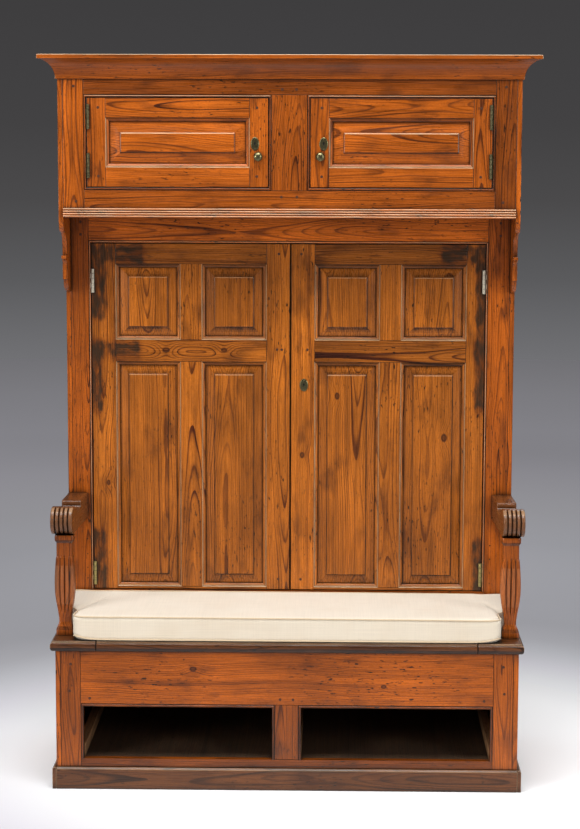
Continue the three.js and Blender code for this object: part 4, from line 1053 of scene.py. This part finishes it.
class SETTLE_OT_hood(bpy.types.Operator):
    """Hood frame with cock beads, its reeded foot and the cornice"""

    bl_idname = "settle.hood"
    bl_label = "Hood and cornice"

    def execute(self, context):
        proud, bead = sizes().cock_bead_proud, sizes().cock_bead
        x, (face, back), z = spans("hood_frame")
        face += proud
        doors = [spans(f"hood_door_{side}") for side, _ in SIDES]
        openings = [(door[X][0] - DOOR_GAP, door[X][1] + DOOR_GAP) for door in doors]
        foot, head = doors[0][Z][0] - DOOR_GAP, doors[0][Z][1] + DOOR_GAP
        work = Joinery(81)
        # The top rail (rail1) is painted darker, partly as the cornice's shade.
        timbers = work.framework(
            x, (face, back), z, [(low - bead, high + bead) for low, high in openings],
            [(foot - bead, head + bead)], "waxed",
            {"left": 0.04, "right": -0.5, "rail0": -0.14, "rail1": -0.42, "muntin": -0.36},
        )
        section = bead_section(bead, proud, back - face)
        for j, opening in enumerate(openings):
            work.moulding(ring_path(opening, (foot, head)), face, section, timbers[0, j], True, COCK_BEAD_WEAR)
        for (side, sign), (left, right) in zip(SIDES, openings):
            bolt = f"hood_lock_bolt_{side}"
            low, high = spans(bolt)[X]
            work.mortise(*((left, bolt, low - BOLT_THROW) if sign > 0 else (right, bolt, high + BOLT_THROW)))
        work.pegs(face, ((0.022, 2.156), (0.024, 1.827), (0.665, 2.165), (0.66, 1.812)))
        work.finish("hood_frame_members", "root", "pine", "hood_frame")
        self.reeds()
        # The cornice's upward rounded edges are painted near white as a highlight, with their rubbing.
        for side, along, seed in (("front", X, 84), ("left", Y, 85), ("right", Y, 85)):
            eased(
                f"cornice_{side}_length", f"cornice_{side}", "root", pine("waxed", along), along, seed,
                -0.2, 1.2 * MM, -0.95,
            )
        return {"FINISHED"}

    def reeds(self):
        """Four half-round reeds side by side, painted dark between them as shade and dirt, and bright on their
        worn tops as a highlight.
        """
        low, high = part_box("reeded_strip")
        count = 4
        height, deep = (high.z - low.z) / count, high.y - low.y
        radius = height / 2
        section = [(0, deep, 0.3)]
        for reed in range(count):
            # Painted shade and dirt in the grooves, painted highlight on the tops.
            for i, dirt in enumerate((1.0, 0.8, 0.3, -0.1, -0.4, -0.6, 0.0, 0.9, 1.0)):
                turn = math.pi * i / 8
                reach = radius * (0.88 if i in (0, 8) else 1)
                across = reed * height + radius - reach * math.cos(turn)
                section.append((across, radius * (1 - math.sin(turn)), dirt))
        section.append((count * height, deep, 0.3))
        work = Joinery(83)
        timber = pine("waxed", X), heart_of(low, high, X, work.draw), 0.0
        work.moulding([(low.x, low.z, 0, 1), (high.x, low.z, 0, 1)], low.y, section, (timber, timber), False)
        work.finish("reeded_moulding", "root", "pine", "reeded_strip")


class SETTLE_OT_hood_doors(bpy.types.Operator):
    """Two small doors in the hood, each with one long fielded panel"""

    bl_idname = "settle.hood_doors"
    bl_label = "Hood doors"

    def execute(self, context):
        for side, sign, seed, tone, panel_tone in (
            ("left", -1, 91, -0.05, 0.06), ("right", 1, 92, -0.14, -0.12)
        ):
            node, panel, bolt = f"hood_door_{side}", f"hood_panel_{side}", f"hood_lock_bolt_{side}"
            column, row = panel_opening(panel)
            work = Joinery(seed)
            face = moulded_door(work, node, "waxed", {"all": tone}, [column], [row])
            work.pegs(face, [(x, z) for x in (0.100, 0.590) for z in (2.100, 1.890)], (sign,))
            meeting = 0 if sign > 0 else 1
            work.mortise(spans(node)[X][meeting], bolt, spans(bolt)[X][1 - meeting])
            work.finish(f"{node}_members", node, "pine", node)
            fielded(panel, node, "waxed", X, sizes().hood_bevel, seed + 5, panel_tone)
        return {"FINISHED"}


class SETTLE_OT_seat(bpy.types.Operator):
    """Fixed ends of the seat, the lid and the strip behind it"""

    bl_idname = "settle.seat"
    bl_label = "Seat and lid"

    def execute(self, context):
        joints = spans("seat_lid")[X]
        for part, body, seed, tone, ease, rim, meets in (
            ("end_left", "root", 101, -0.3, 1.5, -0.4, joints),
            ("end_right", "root", 102, -0.3, 1.5, -0.4, joints),
            ("rear", "root", 103, -0.1, 0.8, 0.3, ()), ("lid", "lid", 104, -0.36, 1.5, -0.4, joints),
        ):
            eased(
                f"seat_{part}_board", f"seat_{part}", body, pine("handled", X), X, seed, tone,
                ease * MM, rim, meets,
            )
        return {"FINISHED"}


def ease_between(low, high, value):
    """0 below low, 1 above high and a smooth rise between."""
    share = np.clip((value - low) / (high - low), 0, 1)
    return share * share * (3 - 2 * share)


def carved(name, node, finish, along, seed, tone, rings, dirt_of):
    """A closed form joined from rings of points, with the dirt and painted light that the function given last
    gives for each ring and step.
    """
    mesh = bmesh.new()
    dirt = mesh.faces.layers.float.new("dirt")
    for row, strips in enumerate(join_rings(mesh, rings)[0]):
        for i, strip in enumerate(strips):
            strip[dirt] = dirt_of(row, i)
    piece = put(name, mesh, "root", (node,), [pine(finish, along)], 50)
    mark_timber(piece, node, along, seed, tone)
    return piece


class SETTLE_OT_arms(bpy.types.Operator):
    """Scrolled arms on reeded posts"""

    bl_idname = "settle.arms"
    bl_label = "Arms and posts"

    def execute(self, context):
        for side, sign, seed, tone in (("left", -1, 111, -0.3), ("right", 1, 113, -0.02)):
            self.arm(side, sign, seed)
            self.post(side, seed + 1, tone)
        return {"FINISHED"}

    def post(self, side, seed, tone):
        """Baluster, square in section with rounded corners: its belly carries reeds between cut grooves,
        which end in points under a square neck."""
        low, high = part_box(f"arm_post_{side}")
        centre, size = (low + high) / 2, high - low
        # Height as a share of the post, and half width as a share of the widest
        outline = (
            (0.0, 0.89), (0.055, 0.89), (0.068, 0.85), (0.11, 0.66), (0.135, 0.6), (0.17, 0.61), (0.25, 0.72),
            (0.34, 0.88), (0.43, 0.98), (0.5, 1.0), (0.58, 0.985), (0.68, 0.93), (0.775, 0.845), (0.79, 0.79),
            (0.925, 0.79), (0.945, 0.93), (0.96, 0.95), (0.985, 0.95), (1.0, 0.92),
        )
        heights = sorted({*(height for height, _ in outline), *(i / 90 for i in range(91))})
        reeds = 4
        rings, grooves = [], []
        for height in heights:
            half = size.x / 2 * np.interp(height, *zip(*outline))
            reeded = ease_between(0.2, 0.3, height) * (1 - ease_between(0.73, 0.82, height))
            ring, cuts = [], []
            for c, s in circle(144):
                # A square with round corners
                reach = (abs(c) ** 7 + abs(s) ** 7) ** (-1 / 7)
                x, y = c * reach, s * reach
                across = x if abs(s) > abs(c) else y
                wave = abs(math.sin(math.pi * reeds / 2 * (across + 1)))
                # Each groove narrows to a point at its ends.
                groove = max(0.0, 1 - wave / (0.05 + 0.6 * reeded)) ** 1.3 if abs(across) < 0.9 else 0.0
                groove *= ease_between(0, 0.4, reeded)
                wide = half * (1 - 0.13 * groove)
                deep = wide * size.y / size.x
                ring.append((centre.x + x * wide, centre.y + y * deep, low.z + height * size.z))
                cuts.append(groove)
            rings.append(ring)
            grooves.append(cuts)

        def dirt_of(row, i):
            # Grooves, and the hollows beside the rings, are painted dark as dirt and shade; the belly is a
            # little rubbed bright.
            if grooves[row][i] > 0.12:
                return min(0.9, 0.15 + 0.8 * grooves[row][i])
            height = heights[row]
            near_ring = 0.925 <= height < 0.95 or 0.055 <= height < 0.08
            return 0.7 if near_ring else (-0.08 if 0.3 < height < 0.7 else 0.1)

        piece = carved(f"arm_post_{side}_reeded", f"arm_post_{side}", "waxed", Z, seed, tone, rings, dirt_of)
        # A post is cut well clear of the tree's heart.
        piece["heart"] = [place + shift for place, shift in zip(piece["heart"], (0.09, 0.07, 0))]

    def arm(self, side, sign, seed):
        """Arm cut from one thick board, leaning out towards its front: level behind, a bead at its step,
        a hollow, and a scroll carved with five flutes."""
        low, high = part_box(f"arm_{side}")
        inner = min(abs(low.x), abs(high.x))
        outline = self.side_outline(low, high)
        reeds = 5
        # Share of the width, and how far the sharp corner is rounded there in mm
        edge = [(0, 1.9), (0.012, 0.8), (0.035, 0.15)]
        across = [*edge, *((0.05 + 0.9 * i / 60, 0) for i in range(61)), *((1 - s, r) for s, r in edge[::-1])]
        rings, grooves = [], []
        for share, rounded in across:
            ring, cuts = [], []
            for y, z, normal_y, normal_z, cut in outline:
                lean = ARM_SPLAY * (high.y - y) / (high.y - low.y - SCROLL_HALF)
                wide = ARM_WIDTH + SCROLL_SPREAD * (1 - ease_between(80 * MM, 100 * MM, y - low.y))
                wave = abs(math.sin(math.pi * reeds * share))
                groove = max(0.0, 1 - wave / 0.75) ** 1.2 * cut if 0.08 < share < 0.92 else 0.0
                fall = (rounded + 4.5 * groove) * MM
                ring.append((sign * (inner + lean + share * wide), y - normal_y * fall, z - normal_z * fall))
                cuts.append(groove)
            rings.append(ring)
            grooves.append(cuts)

        def dirt_of(row, i):
            # Flutes are painted dark as dirt and shade.
            if grooves[row][i] > 0.12:
                return min(0.9, 0.2 + 0.8 * grooves[row][i])
            if outline[i][4] < 0.4:
                return 0.05
            return -0.32 if 0.62 < outline[i][3] < 0.95 else -0.06  # the scroll's brow, worn by hands and painted bright as a highlight

        carved(f"arm_{side}_scroll", f"arm_{side}", "handled", Y, seed, 0.1, rings, dirt_of)

    def side_outline(self, low, high):
        """The arm's side view from its underside at the back, round its scroll, to its top at the back:
        points with their outward normals, and how far the flutes are cut there."""
        front, under, back = low.y, low.z, high.y
        half = (high.z - under) / 2
        middle = front + SCROLL_HALF
        points = [(back + (middle - back) * i / 12, under, 0) for i in range(12)]
        for i in range(45):
            share = i / 44
            turn = -math.pi / 2 - math.pi * share
            cut = ease_between(0.1, 0.22, share) * (1 - ease_between(0.86, 0.99, share))
            points.append((middle + SCROLL_HALF * math.cos(turn), under + half + half * math.sin(turn), cut))
        top, hollow, foot, step = under + 79 * MM, under + 48 * MM, under + 61 * MM, front + 199 * MM
        for start, pull, end in (
            ((middle, high.z), (middle + 42 * MM, high.z), (front + 126 * MM, hollow)),
            ((front + 126 * MM, hollow), (step - 6 * MM, hollow), (step, foot)),
            ((step, foot), (step - 6 * MM, top - 3 * MM), (step + 6 * MM, top)),
        ):
            for t in (i / 12 for i in range(1, 13)):
                y, z = ((1 - t) ** 2 * a + 2 * t * (1 - t) * b + t * t * c for a, b, c in zip(start, pull, end))
                points.append((y, z, 0))
        points += [(step + 6 * MM + (back - step - 6 * MM) * i / 8, top, 0) for i in range(1, 9)]
        outline = []
        for i, (y, z, cut) in enumerate(points):
            before, after = points[i - 1], points[(i + 1) % len(points)]
            along = Vector((after[0] - before[0], after[1] - before[1])).normalized()
            outline.append((y, z, -along.y, along.x, cut))
        return outline


def turned(mesh, profile, centre, sides):
    """A form turned about an axis along -Y: section points hold radius and distance out."""
    x, y, z = centre
    join_rings(mesh, [
        [(x + radius * c, y - out, z + radius * s) for c, s in circle(sides if radius else 1)]
        for radius, out in profile
    ], ends=False)


def knuckle(mesh, x, y, foot, head, radius):
    """An upright cylinder with rounded ends."""
    lip = 0.5 * MM
    join_rings(mesh, [
        [(x + radius * share * c, y + radius * share * s, height) for c, s in circle(20)]
        for share, height in ((0.8, foot), (1, foot + lip), (1, head - lip), (0.8, head))
    ])


class SETTLE_OT_fittings(bpy.types.Operator):
    """Keyhole plates, knobs, bolts and hinges"""

    bl_idname = "settle.fittings"
    bl_label = "Plates, knobs and hinges"

    def execute(self, context):
        self.plate("tall_keyhole_oval", "tall_keyhole_plate", "tall_door_right")
        for side, outward in SIDES:
            self.plate(f"hood_keyhole_oval_{side}", f"hood_keyhole_plate_{side}", f"hood_door_{side}")
            self.knob(f"turned_knob_{side}", f"knob_{side}", f"hood_door_{side}")
            for height, metal in (("upper", "steel"), ("lower", "lacquer")):
                self.butt(f"tall_hinge_{side}_{height}", f"tall_door_{side}", outward, metal)
                self.butt(f"hood_hinge_{side}_{height}", f"hood_door_{side}", outward, "bronze")
        for node, seed in (
            ("tall_lock_bolt", 1), ("hood_lock_bolt_left", 1), ("hood_lock_bolt_right", 1),
            ("lid_hinge_left", 2), ("lid_hinge_right", 2),
        ):
            dress(node, aged_metal("bronze"), X, seed)
        return {"FINISHED"}

    def plate(self, name, node, body):
        """An oval plate with a domed rim, a keyhole and two pins."""
        low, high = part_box(node)
        centre, half = (low + high) / 2, (high - low) / 2
        back, thickness = high.y, high.y - low.y
        # Keyhole: the round eye, and the slot's half width and length under it
        eye, slot_half, slot_long = 2.8 * MM, 1.7 * MM, 6.2 * MM
        keyhole = []
        for c, s in circle(48):
            reach = eye
            if s < -0.75 or (s < 0 and abs(c) * eye < slot_half):
                reach = min(slot_long / max(-s, 0.01), slot_half / max(abs(c), 0.01))
            keyhole.append((c * min(reach, slot_long), 2.5 * MM + s * min(reach, slot_long * 1.35)))
        # The rim is domed in steps, each a share of the oval and of the thickness.
        lines = [
            ([(half.x * share * c, half.z * share * s) for c, s in circle(48)], depth)
            for share, depth in ((1.0, 0.0), (1.0, 0.55), (0.93, 0.9), (0.82, 1.0))
        ]
        rings = [
            [(centre.x + x, back - depth * thickness, centre.z + z) for x, z in line]
            for line, depth in (*lines, (keyhole, 1.0), (keyhole, 0.1))
        ]
        mesh = bmesh.new()
        # The keyhole's inner end takes the near-black painted shade.
        join_rings(mesh, rings)[1][1].material_index = 1
        for sign in (-1, 1):
            at = (centre.x, back - thickness * 0.9, centre.z + sign * half.z * 0.72)
            turned(mesh, [(0.0017, 0), (0.0015, 0.0005), (0.0008, 0.0009), (0, 0.001)], at, 12)
        put(name, mesh, body, (node,), [aged_metal("brass"), dark_hollow()], 40)

    def knob(self, name, node, body):
        low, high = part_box(node)
        radius, reach = (high.x - low.x) / 2, high.y - low.y
        shares = (
            (0, 0), (0.72, 0), (0.74, 0.05), (0.7, 0.11), (0.5, 0.14), (0.4, 0.2), (0.35, 0.28), (0.36, 0.36),
            (0.5, 0.42), (0.78, 0.48), (0.93, 0.56), (1, 0.66), (0.98, 0.76), (0.88, 0.86), (0.66, 0.94),
            (0.36, 0.985), (0, 1),
        )
        mesh = bmesh.new()
        profile = [(radius * across, reach * out) for across, out in shares]
        turned(mesh, profile, ((low.x + high.x) / 2, high.y, (low.z + high.z) / 2), 40)
        put(name, mesh, body, (node,), [aged_metal("brass")], 50)

    def butt(self, node, door, outward, metal):
        """A butt hinge of five knuckles: three and a leaf stay with the frame, two and a leaf with the door."""
        low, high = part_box(node)
        leaf, radius, gap = sizes().leaf, 4.5 * MM, 0.2 * MM
        edge = (low.x + leaf) if outward < 0 else (high.x - leaf)
        axis_x, axis_y = edge - outward * (2 * MM + radius), low.y + radius
        front = axis_y + radius - 2 * MM
        length = (high.z - low.z) / 5
        for part, body, turns, wing, side, back in (
            ("fixed", "root", (0, 2, 4), leaf, (0, leaf), high.y),
            ("moving", door, (1, 3), -0.9 * MM, (-1.9 * MM, -0.9 * MM), high.y - 1 * MM),
        ):
            mesh = bmesh.new()
            for i in turns:
                tall = low.z + i * length + gap, low.z + (i + 1) * length - gap
                knuckle(mesh, axis_x, axis_y, *tall, radius)
                slab(mesh, sorted((axis_x, edge + outward * wing)), (front, front + 1.6 * MM), tall)
            slab(mesh, sorted(edge + outward * reach for reach in side), (front, back), (low.z, high.z))
            if part == "fixed":
                for end, out in ((low.z, 1.2 * MM), (high.z, -1.2 * MM)):
                    knuckle(mesh, axis_x, axis_y, *sorted((end, end + out)), radius * 0.55)
            nodes = (node,) if part == "fixed" else ()
            put(f"{node}_{part}", mesh, body, nodes, [aged_metal(metal)], 40)


def bake_modifiers(piece):
    """Applies a piece's modifiers to its mesh."""
    graph = bpy.context.evaluated_depsgraph_get()
    made = bpy.data.meshes.new_from_object(piece.evaluated_get(graph), depsgraph=graph)
    old, piece.data = piece.data, made
    piece.modifiers.clear()
    made.materials.clear()
    for material in old.materials:
        made.materials.append(material)
    bpy.data.meshes.remove(old)


class SETTLE_OT_cushion(bpy.types.Operator):
    """Loose box cushion of canvas, plumped by a cloth simulation, with sewn welts"""

    bl_idname = "settle.cushion"
    bl_label = "Cushion"

    def execute(self, context):
        low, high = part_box("seat_cushion")
        foot, top = low.z, high.z - 3 * MM
        outline = self.outline(low, high)
        mesh = bmesh.new()
        join_rings(mesh, [
            [(x - out_x * inset * MM, y - out_y * inset * MM, height) for x, y, out_x, out_y in outline]
            for inset, height in ((7, foot), (0, foot + 7 * MM), (0, top - 4 * MM), (4, top))
        ])
        bmesh.ops.triangulate(mesh, faces=mesh.faces)
        cloths = [cotton_canvas(), cotton_canvas(seam=True)]
        cover = put("cushion_cover", mesh, "lid", ("seat_cushion",), cloths)
        remesh = cover.modifiers.new("even", "REMESH")
        remesh.mode, remesh.voxel_size = "VOXEL", sizes().voxel
        bake_modifiers(cover)
        rest = self.places(cover)
        self.plump(cover)
        edges = [[(x, y, height) for x, y, _, _ in outline] for height in (foot + 5 * MM, top - 1 * MM)]
        rim = self.carried(edges[1], rest, self.places(cover))[:, 2].mean()
        self.settle(cover, low, high, rim)
        paths = [self.carried(edge, rest, self.places(cover)) for edge in edges]
        finer = cover.modifiers.new("finer", "SUBSURF")
        finer.levels = finer.render_levels = 1
        bake_modifiers(cover)
        cover.data.shade_smooth()
        self.sew(cover, paths)
        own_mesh(cover)
        return {"FINISHED"}

    def outline(self, low, high):
        """The cover from above, anticlockwise, as points with their outward directions: squared front
        corners, let in between the arm posts, and wider behind them."""
        post_low, post_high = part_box("arm_post_right")
        front, back = low.y + 5 * MM, high.y - 5 * MM
        waist, wide = post_low.x - 3 * MM, high.x - 5 * MM
        # Corners of its right half, and how much each is cut back into a round, in mm
        corners = [(Vector((x, y)), cut) for x, y, cut in (
            (0, front, 0), (waist, front, 26), (waist, post_high.y + 6 * MM, 20),
            (wide, post_high.y + 66 * MM, 36), (wide, back, 34), (0, back, 0),
        )]
        half = []
        for i, (here, cut) in enumerate(corners):
            start, end = (
                here + (corners[j % len(corners)][0] - here).normalized() * cut * MM for j in (i - 1, i + 1)
            )
            for t in (0, 0.2, 0.4, 0.6, 0.8, 1) if cut else (0,):
                half.append(start * (1 - t) ** 2 + here * 2 * t * (1 - t) + end * t * t)
        half = self.spaced(half, 10 * MM)
        ring = half + [Vector((-p.x, p.y)) for p in half[-2:0:-1]]
        ways = [(after - before).normalized() for before, after in zip(ring[-1:] + ring, ring[1:] + ring[:1])]
        return [(here.x, here.y, way.y, -way.x) for here, way in zip(ring, ways)]

    def spaced(self, points, step):
        """Points at even steps along a line of points, with both of its ends."""
        lengths = np.cumsum([0, *((b - a).length for a, b in zip(points, points[1:]))])
        marks = np.linspace(0, lengths[-1], round(lengths[-1] / step) + 1)
        return [Vector(place) for place in zip(*(np.interp(marks, lengths, line) for line in zip(*points)))]

    def places(self, cover):
        places = np.empty(len(cover.data.vertices) * 3, np.float32)
        cover.data.vertices.foreach_get("co", places)
        return places.reshape(-1, 3)

    def plump(self, cover):
        """Blows the cover up from inside, as stuffing does, and caps how far each point may move."""
        rest = self.places(cover)
        settings = cover.modifiers.new("stuffing", "CLOTH").settings
        settings.use_pressure, settings.uniform_pressure_force = True, 4
        settings.effector_weights.gravity = 0
        for step in range(1, 21):
            bpy.context.scene.frame_set(step)
        bake_modifiers(cover)
        bpy.context.scene.frame_set(1)
        move = self.places(cover) - rest
        reach = np.linalg.norm(move, axis=1, keepdims=True)
        move *= np.minimum(1, sizes().swell / np.maximum(reach, 1e-9))
        cover.data.vertices.foreach_set("co", (rest + move).ravel())

    def settle(self, cover, low, high, rim):
        """Lets the cushion out to its place, lays it flat on the lid with its upper welt at the height it
        has in the photograph, keeps its top below the doors, and draws in the creases of the arm posts."""
        post_low, post_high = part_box("arm_post_right")
        x, y, z = (axis.copy() for axis in self.places(cover).T)
        ahead = np.clip((post_high.y + 50 * MM - y) / (50 * MM), 0, 1)
        ahead = ahead * ahead * (3 - 2 * ahead)
        front_reach, back_reach = np.abs(x[y < post_low.y]).max(), np.abs(x).max()
        x *= ahead * (post_low.x - 0.5 * MM) / front_reach + (1 - ahead) * high.x / back_reach
        front, back = y.min(), y.max()
        y = low.y - 5 * MM + (y - front) * (high.y - low.y + 3 * MM) / (back - front)
        z = low.z + (z - low.z) * (high.z - 2 * MM - low.z) / (rim - low.z)
        tall = high.z - low.z
        z -= 3 * MM * x / high.x * np.clip((z - low.z) / tall, 0, 1)
        # The front corners are rounded up from the lid.
        corner = np.clip((np.abs(x) - post_low.x + 75 * MM) / (75 * MM), 0, 1)
        corner *= np.clip((post_low.y - y) / (70 * MM), 0, 1)
        z += 20 * MM * corner ** 2 * np.clip((high.z - z) / tall, 0, 1)
        soft, top = 5 * MM, high.z + 1 * MM
        over = z > top - soft
        z[over] = top - soft * np.exp(-(z[over] - top + soft) / soft)
        upper = np.clip((z - low.z - 40 * MM) / (25 * MM), 0, 1)
        # Each crease: where it starts and ends, its depth and its width in mm
        for start, end, deep, wide in (
            ((-0.664, -0.215), (-0.585, -0.030), 9, 11), ((0.668, -0.200), (0.615, -0.055), 8, 11),
            ((0.664, -0.262), (0.630, -0.300), 5, 7),
        ):
            start, end = np.array(start), np.array(end)
            span = end - start
            share = np.clip(((x - start[0]) * span[0] + (y - start[1]) * span[1]) / (span @ span), 0, 1)
            off = np.hypot(x - start[0] - share * span[0], y - start[1] - share * span[1])
            z -= deep * MM * upper * (1 - share) ** 0.7 * np.exp(-((off / (wide * MM)) ** 2))
        z = np.clip(z, low.z, None)
        cover.data.vertices.foreach_set("co", np.stack((x, y, z), 1).astype(np.float32).ravel())
        cover.data.update()

    def carried(self, path, rest, moved):
        """A line on the cover before it was plumped, taken along with the points nearest to it."""
        tree = KDTree(len(rest))
        for i, place in enumerate(rest):
            tree.insert(place, i)
        tree.balance()
        nearest = [[i for _, i, _ in tree.find_n(place, 8)] for place in path]
        line = np.array(path) + [(moved[near] - rest[near]).mean(0) for near in nearest]
        for _ in range(2):
            line = (np.roll(line, 1, 0) + line + np.roll(line, -1, 0)) / 3
        return line

    def sew(self, cover, paths):
        """Adds the welts: thin tubes of the same canvas along the cover's edges."""
        mesh = bmesh.new()
        mesh.from_mesh(cover.data)
        for path in paths:
            rings = []
            for place, way in zip(path, np.roll(path, -1, 0) - np.roll(path, 1, 0)):
                out = Vector((way[1], -way[0], 0)).normalized()
                across, up = out * sizes().welt, Vector((0, 0, sizes().welt))
                rings.append([Vector(place) + across * c + up * s for c, s in circle(8)])
            for strip in sum(join_rings(mesh, rings, closed=True)[0], []):
                strip.material_index, strip.smooth = 1, True
        mesh.to_mesh(cover.data)
        mesh.free()


OPERATORS = (
    SETTLE_OT_stage, SETTLE_OT_base, SETTLE_OT_carcase, SETTLE_OT_back, SETTLE_OT_tall_doors, SETTLE_OT_hood,
    SETTLE_OT_hood_doors, SETTLE_OT_seat, SETTLE_OT_arms, SETTLE_OT_fittings, SETTLE_OT_cushion,
)


class SETTLE_PT_pieces(bpy.types.Panel):
    """The settle's sizes, colours and pieces"""

    bl_idname = "SETTLE_PT_pieces"
    bl_label = "Panelled settle"
    bl_space_type = "VIEW_3D"
    bl_region_type = "UI"
    bl_category = "Settle"

    def draw(self, context):
        for group in (sizes(), colours()):
            box = self.layout.box()
            for name in group.__annotations__:
                box.prop(group, name)
        for operator in OPERATORS:
            self.layout.operator(operator.bl_idname)


CLASSES = (SettleSizes, SettleColours, *OPERATORS, SETTLE_PT_pieces)


def register():
    for cls in CLASSES:
        bpy.utils.register_class(cls)
    bpy.types.Scene.settle_sizes = bpy.props.PointerProperty(type=SettleSizes)
    bpy.types.Scene.settle_colours = bpy.props.PointerProperty(type=SettleColours)


def unregister():
    del bpy.types.Scene.settle_colours
    del bpy.types.Scene.settle_sizes
    for cls in reversed(CLASSES):
        bpy.utils.unregister_class(cls)


def main():
    register()
    for operator in OPERATORS:
        group, name = operator.bl_idname.split(".")
        getattr(getattr(bpy.ops, group), name)()
    boxes = {"cad": cad_box, "visual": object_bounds()}
    {name: [list(low), list(high)] for name, (low, high) in boxes.items()}


if __name__ == "__main__":
    main()
